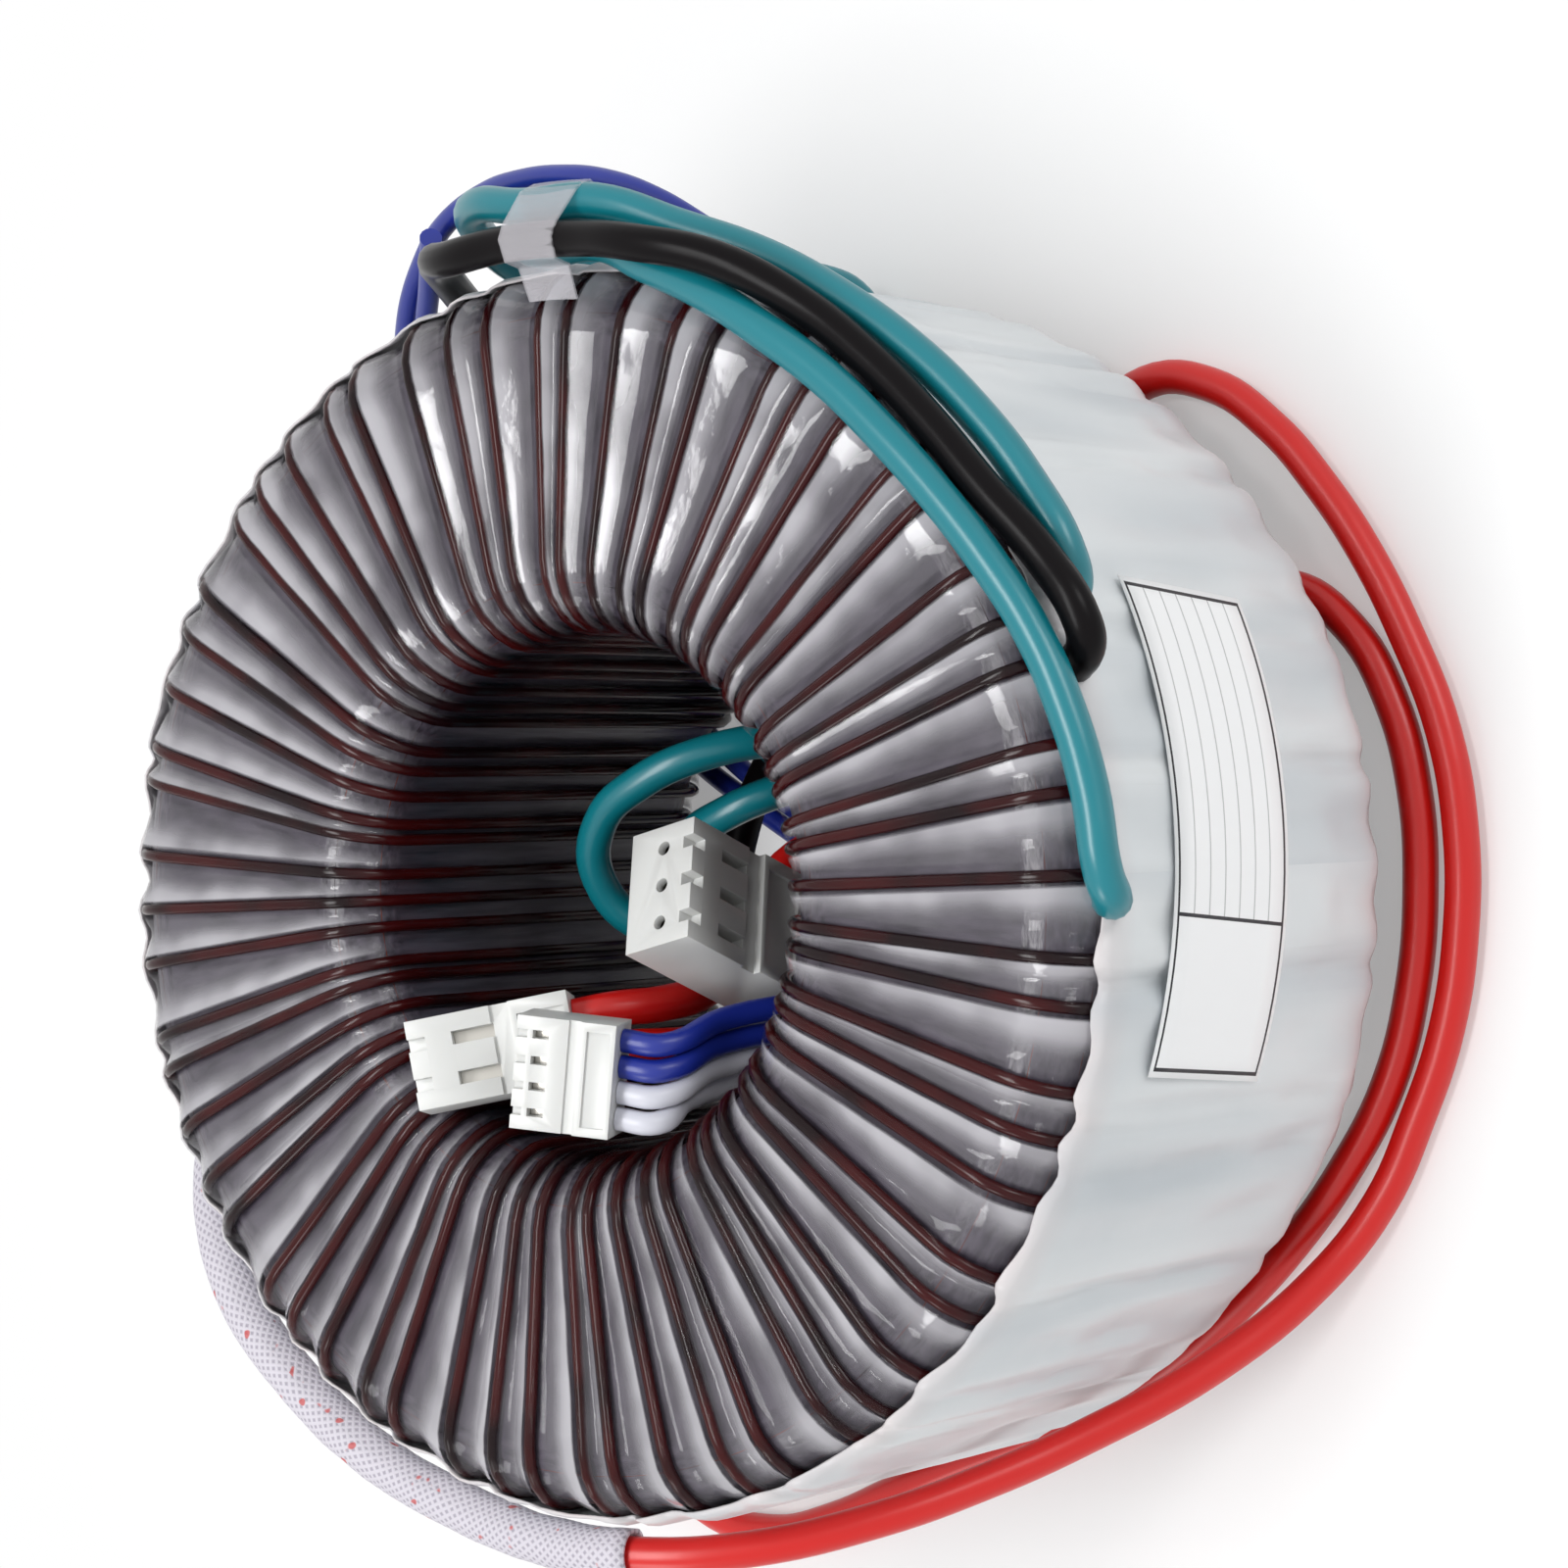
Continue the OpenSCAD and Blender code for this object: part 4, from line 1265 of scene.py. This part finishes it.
class Insulation(Enum):
    """The colours of insulation, by the first word of a lead's name."""

    RED = ExtrudedPvc("red_pvc_insulation", "#d01510", 0.34, 1.53)
    TEAL = ExtrudedPvc("teal_pvc_insulation", "#0c7884", 0.3, 1.53)
    BLACK = ExtrudedPvc("black_pvc_insulation", "#0d0a0c", 0.3, 1.2)
    BLUE = ExtrudedPvc("blue_pvc_insulation", "#182a8c", 0.36, 1.53)
    WHITE = ExtrudedPvc("grey_white_pvc_insulation", "#cfd0da", 0.38, 1.53)


@dataclass(frozen=True)
class Plug:
    """A crimp-terminal plug: its two nodes and the leads that end in it.

    Args:
        housing: the nylon housing's node.
        terminals: the node of its contacts.
        leads: the leads' nodes, from one end of the housing to the other.
        diameter: outside diameter of each lead in metres.
        edge: rounding of the housing's edges in metres.
    """

    housing: str
    terminals: str
    leads: tuple[str, ...]
    diameter: float
    edge: float = 0.22 * MM

    def build(self, nylon: bpy.types.Material, tin: bpy.types.Material) -> list[bpy.types.Object]:
        """Round the housing's edges and tin its contacts.

        Args:
            nylon: the housing's material.
            tin: the contacts' material.

        Returns:
            The housing and the contacts.
        """
        housing = copy_of_node(self.housing, self.housing + "_moulding", self.edge)
        settle(housing, nylon, "nylon", self.housing)
        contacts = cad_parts[self.terminals]
        dress(contacts, tin)
        return [housing, contacts]


PLUGS = (
    Plug("mains_plug", "mains_terminals", ("red_lead_1", "red_lead_2"), 3.6 * MM),
    Plug("output_plug", "output_terminals", ("teal_lead_1", "teal_lead_2", "black_lead"), 3.6 * MM),
    Plug(
        "low_voltage_plug", "low_voltage_terminals",
        ("blue_lead_1", "blue_lead_2", "white_lead_1", "white_lead_2"), 2.3 * MM),
)


@dataclass
class Leads:
    """All leads with their plugs and the sleeve over the first mains lead; sizes in metres.

    Args:
        plugs: the plugs.
        nylon: finish of the housings.
        tin: finish of the contacts.
        braid: finish of the sleeve.
        lead_steps: steps of a lead between two of its points.
        lead_sides: bevel steps on a quarter of a lead.
        sleeve_outside: diameter of the sleeve.
        sleeve_wall: its thickness.
        sleeve_points: how many of the lead's points it covers.
        sleeve_sides: faces round the sleeve.
        sleeve_steps: rings of faces between two of those points.
        ruffle: unevenness of the sleeve, as a share of its radius.
        flare: how much wider its cut end is, as a share of its radius.
    """

    plugs: tuple[Plug, ...] = PLUGS
    nylon: MouldedNylon = MouldedNylon("moulded_nylon", "#d3d4d2", 0.34, 1.53)
    tin: RolledMetal = RolledMetal("tin_plated_brass", "#c9c6bf", 0.28)
    braid: GlassBraid = GlassBraid("braided_glass_fibre", "#d2ced7", 0.75, 1.5)
    lead_steps: int = 6
    lead_sides: int = 5
    sleeve_outside: float = 5.0 * MM
    sleeve_points: int = 10
    sleeve_sides: int = 28
    sleeve_wall: float = 0.45 * MM
    sleeve_steps: int = 8
    ruffle: float = 0.05
    flare: float = 0.04

    def lead(self, node: str, diameter: float) -> bpy.types.Object:
        """Lay one lead as a smooth round curve.

        Args:
            node: the lead's node.
            diameter: its outside diameter in metres.

        Returns:
            The lead.
        """
        curve = bpy.data.curves.new(node + "_insulation", "CURVE")
        curve.dimensions = "3D"
        spline = curve.splines.new("BEZIER")
        points = ROUTES[node]
        spline.bezier_points.add(len(points) - 1)
        for target, point in zip(spline.bezier_points, points):
            target.co = Vector(point) * MM
            target.handle_left_type = "AUTO"
            target.handle_right_type = "AUTO"
        curve.resolution_u = self.lead_steps
        curve.bevel_depth = diameter / 2
        curve.bevel_resolution = self.lead_sides
        curve.use_fill_caps = True
        obj = new_object(node + "_insulation", curve)
        colour = node.split("_")[0]
        return settle(obj, Insulation[colour.upper()].value.build(), colour + "_insulation", node)

    def sleeve(self, lead: bpy.types.Object) -> bpy.types.Object:
        """Make the braided sleeve over the first stretch of a lead.

        Args:
            lead: the lead that carries it.

        Returns:
            The sleeve, with a UV map in millimetres.
        """
        bpy.context.view_layer.update()
        knots = lead.data.splines[0].bezier_points
        line: list[Vector] = []
        for a, b in zip(knots[:self.sleeve_points - 1], knots[1:self.sleeve_points]):
            line += geometry.interpolate_bezier(
                a.co, a.handle_right, b.handle_left, b.co, self.sleeve_steps + 1)[:-1]
        line.append(knots[self.sleeve_points - 1].co.copy())
        rings = len(line) - 1
        side = Vector((0, 0, 1))
        frames = []
        for i, point in enumerate(line):
            along = (line[min(i + 1, rings)] - line[max(i - 1, 0)]).normalized()
            side = (side - along * side.dot(along)).normalized()
            frames.append((point, side.copy(), along.cross(side)))
        length = sum((b - a).length for a, b in zip(line, line[1:]))
        radius = self.sleeve_outside / 2

        def place(u: float, v: float) -> Vector:
            """Give a point of the sleeve.

            Args:
                u: share along the sleeve.
                v: share round it.

            Returns:
                The point in metres.
            """
            point, out, across = frames[round(u * rings)]
            angle = v * FULL_TURN
            swell = 1 + self.ruffle * noise.noise(point * 300 + Vector((0, 0, 2 * math.cos(angle))))
            if u > 0.985:
                swell += self.flare
            return point + (out * math.cos(angle) + across * math.sin(angle)) * radius * swell

        spread = (length / MM, FULL_TURN * radius / MM)
        obj = shaped_grid("braided_sleeve_tube", rings, self.sleeve_sides, place, spread)
        thicken(obj, self.sleeve_wall, -1)
        return settle(obj, self.braid.build(), "glass_braid", "braided_sleeve")

    def build(self) -> None:
        """Make the leads, plugs and sleeve, and log each lead's length."""
        nylon = self.nylon.build()
        tin = self.tin.build()
        for plug in self.plugs:
            on_leads = plug.build(nylon, tin)
            for node in plug.leads:
                lead = self.lead(node, plug.diameter)
                length = lead.data.splines[0].calc_length()
                extra = [self.sleeve(lead)] if node == "red_lead_1" else []
                LOG.info("%s is %.0f mm long", node, length / MM)


# ---- pieces that stay as constructed --------------------------------------------


@dataclass
class InnerParts:
    """The core and inner windings, and the clear tape that holds the bundle: they keep their own meshes."""

    strip: RolledMetal = RolledMetal("rolled_silicon_steel_strip", "#8f8d8c", 0.4)
    wrap: WrapFilm = WrapFilm("polyester_core_wrap", "#cfd3d2", 0.35, 1.55)
    enamel: EnamelledCopper = EnamelledCopper("baked_enamel_on_inner_copper", "#8a3a1c", 0.25)
    tape: ClearTape = ClearTape("clear_adhesive_tape", "#e3e0e6", 0.08, 1.5)

    def build(self) -> None:
        """Dress the nodes that keep their own meshes."""
        enamel = self.enamel.build()
        wrap = self.wrap.build()
        choices = {
            "core": (self.strip.build(), "core"), "core_wrap": (wrap, "wrap"), "primary_wrap": (wrap, "wrap"),
            "primary_winding": (enamel, "copper_enamel"), "secondary_winding": (enamel, "copper_enamel"),
            "bundle_tape": (self.tape.build(), "clear_tape")}
        for node, (material, slot) in choices.items():
            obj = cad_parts[node]
            dress(obj, material)
            LOG.info("%s is dressed", node)


# ---- stage -------------------------------------------------------------------------


@dataclass(frozen=True)
class SoftLamp:
    """An oblong studio lamp, aimed at the part.

    Args:
        name: of the lamp.
        place: where it hangs, in metres.
        size: its two sides in metres.
        watts: its power.
    """

    name: str
    place: Point
    size: tuple[float, float]
    watts: float

    def build(self) -> None:
        """Hang the lamp."""
        light = bpy.data.lights.new(self.name, "AREA")
        light.energy = self.watts
        light.shape = "RECTANGLE"
        light.size, light.size_y = self.size
        obj = new_object(self.name, light)
        back = Vector(self.place).normalized()
        long_side = (Vector((1, 0, 0)) - back * back.x).normalized()
        obj.matrix_world = Matrix((long_side, back.cross(long_side), back)).transposed().to_4x4()
        obj.location = self.place
        obj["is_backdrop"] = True


@dataclass
class Studio:
    """Camera, soft lamps, white surroundings and a pale floor.

    Args:
        camera_at: place of the camera in metres.
        forward: direction that it looks in.
        upward: direction that is up in its frame.
        lens: its focal length in millimetres.
        sensor: width of its sensor in millimetres.
        clip: nearest and farthest distance that it sees, in metres.
        floor_side: side of the floor in metres.
        surround: strength of the light from all sides.
        shadow: from and to how far from the middle the floor's shadow fades, in metres.
        lamps: the lamps.
    """

    camera_at: Point = (2.05 * MM, -248.0 * MM, 316.1 * MM)
    forward: Point = (0.0204, 0.6060, -0.7952)
    upward: Point = (0.99895, -0.04506, -0.00872)
    lens: float = 90.0
    sensor: float = 36.0
    clip: tuple[float, float] = (0.01, 20.0)
    floor_side: float = 6.0
    surround: float = 0.5
    shadow: tuple[float, float] = (0.075, 0.17)
    lamps: tuple[SoftLamp, ...] = (
        SoftLamp("key_lamp", (0.02, 0.03, 0.75), (0.55, 0.2), 3.8),
        SoftLamp("fill_lamp", (0.5, -0.8, 0.3), (0.3, 0.3), 1.9),
        SoftLamp("side_lamp", (-0.75, 0.15, 0.45), (0.25, 0.25), 1.3),
    )

    def camera(self) -> None:
        """Set up the camera."""
        data = bpy.data.cameras.new("camera")
        data.lens = self.lens
        data.sensor_width = self.sensor
        data.clip_start, data.clip_end = self.clip
        obj = new_object("camera", data)
        back = -Vector(self.forward).normalized()
        up = (Vector(self.upward) - back * Vector(self.upward).dot(back)).normalized()
        turn = Matrix((up.cross(back), up, back)).transposed()
        obj.matrix_world = Matrix.Translation(self.camera_at) @ turn.to_4x4()
        bpy.context.scene.camera = obj
        bpy.context.scene.view_settings.view_transform = "Standard"

    def seen(self, tree: bpy.types.NodeTree) -> bpy.types.Node:
        """Tell whether a ray comes from the camera, straight or by way of gloss or clear film.

        Args:
            tree: the tree that asks.

        Returns:
            A node that gives 1 for such a ray.
        """
        path = add_node(tree, "LightPath")
        seen = path.outputs["Is Camera Ray"]
        for ray in ("Is Glossy Ray", "Is Transmission Ray"):
            seen = add_node(tree, "Math", {0: seen, 1: path.outputs[ray]}, operation="MAXIMUM")
        return seen

    def world(self) -> None:
        """Surround the part with soft light, seen as white."""
        world = bpy.data.worlds.new("white_surroundings")
        bpy.context.scene.world = world
        world.use_nodes = True
        tree = world.node_tree
        strength = add_node(tree, "MapRange", {"Value": self.seen(tree), "To Min": self.surround})
        feed(tree, tree.nodes["Background"], {"Color": (1, 1, 1, 1), "Strength": strength})

    def floor(self, height: float) -> None:
        """Lay the floor under the part: white card, with the part's shadow kept near it.

        Args:
            height: of the floor in metres.
        """
        bpy.ops.object.select_all(action="DESELECT")
        bpy.ops.mesh.primitive_plane_add(size=self.floor_side, location=(0, 0, height))
        obj = bpy.context.active_object
        obj.name = "floor"
        material, tree, shader = Finish("white_card", "#f4f4f4", 0.9).shader()
        spot = add_node(tree, "TexCoord").outputs["Object"]
        reach = add_node(tree, "VectorMath", {0: spot}, operation="LENGTH").outputs["Value"]
        near, far = self.shadow
        fade = add_node(
            tree, "MapRange", {"Value": reach, "From Min": near, "From Max": far, "To Min": 0.3},
            interpolation_type="SMOOTHSTEP")
        amount = add_node(tree, "Math", {0: self.seen(tree), 1: fade}, operation="MULTIPLY")
        glow = add_node(tree, "Emission", {"Color": (1, 1, 1, 1), "Strength": 1.0})
        blend = add_node(tree, "MixShader", {0: amount, 1: shader, 2: glow})
        feed(tree, tree.nodes["Material Output"], {"Surface": blend})
        dress(obj, material)
        obj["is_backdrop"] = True

    def build(self, height: float) -> None:
        """Set up everything round the part.

        Args:
            height: of the floor in metres.
        """
        self.camera()
        self.world()
        self.floor(height)
        for lamp in self.lamps:
            lamp.build()


def main() -> None:
    """Set the stage under the part, then build the sub-assemblies in order."""
    logging.basicConfig(level=logging.INFO, format="%(name)s: %(message)s")
    low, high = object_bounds()
    Studio().build(low.z)
    Leads().build()
    Coil().build()
    Band().build()
    InnerParts().build()
    bpy.context.view_layer.update()


if __name__ == "__main__":
    main()
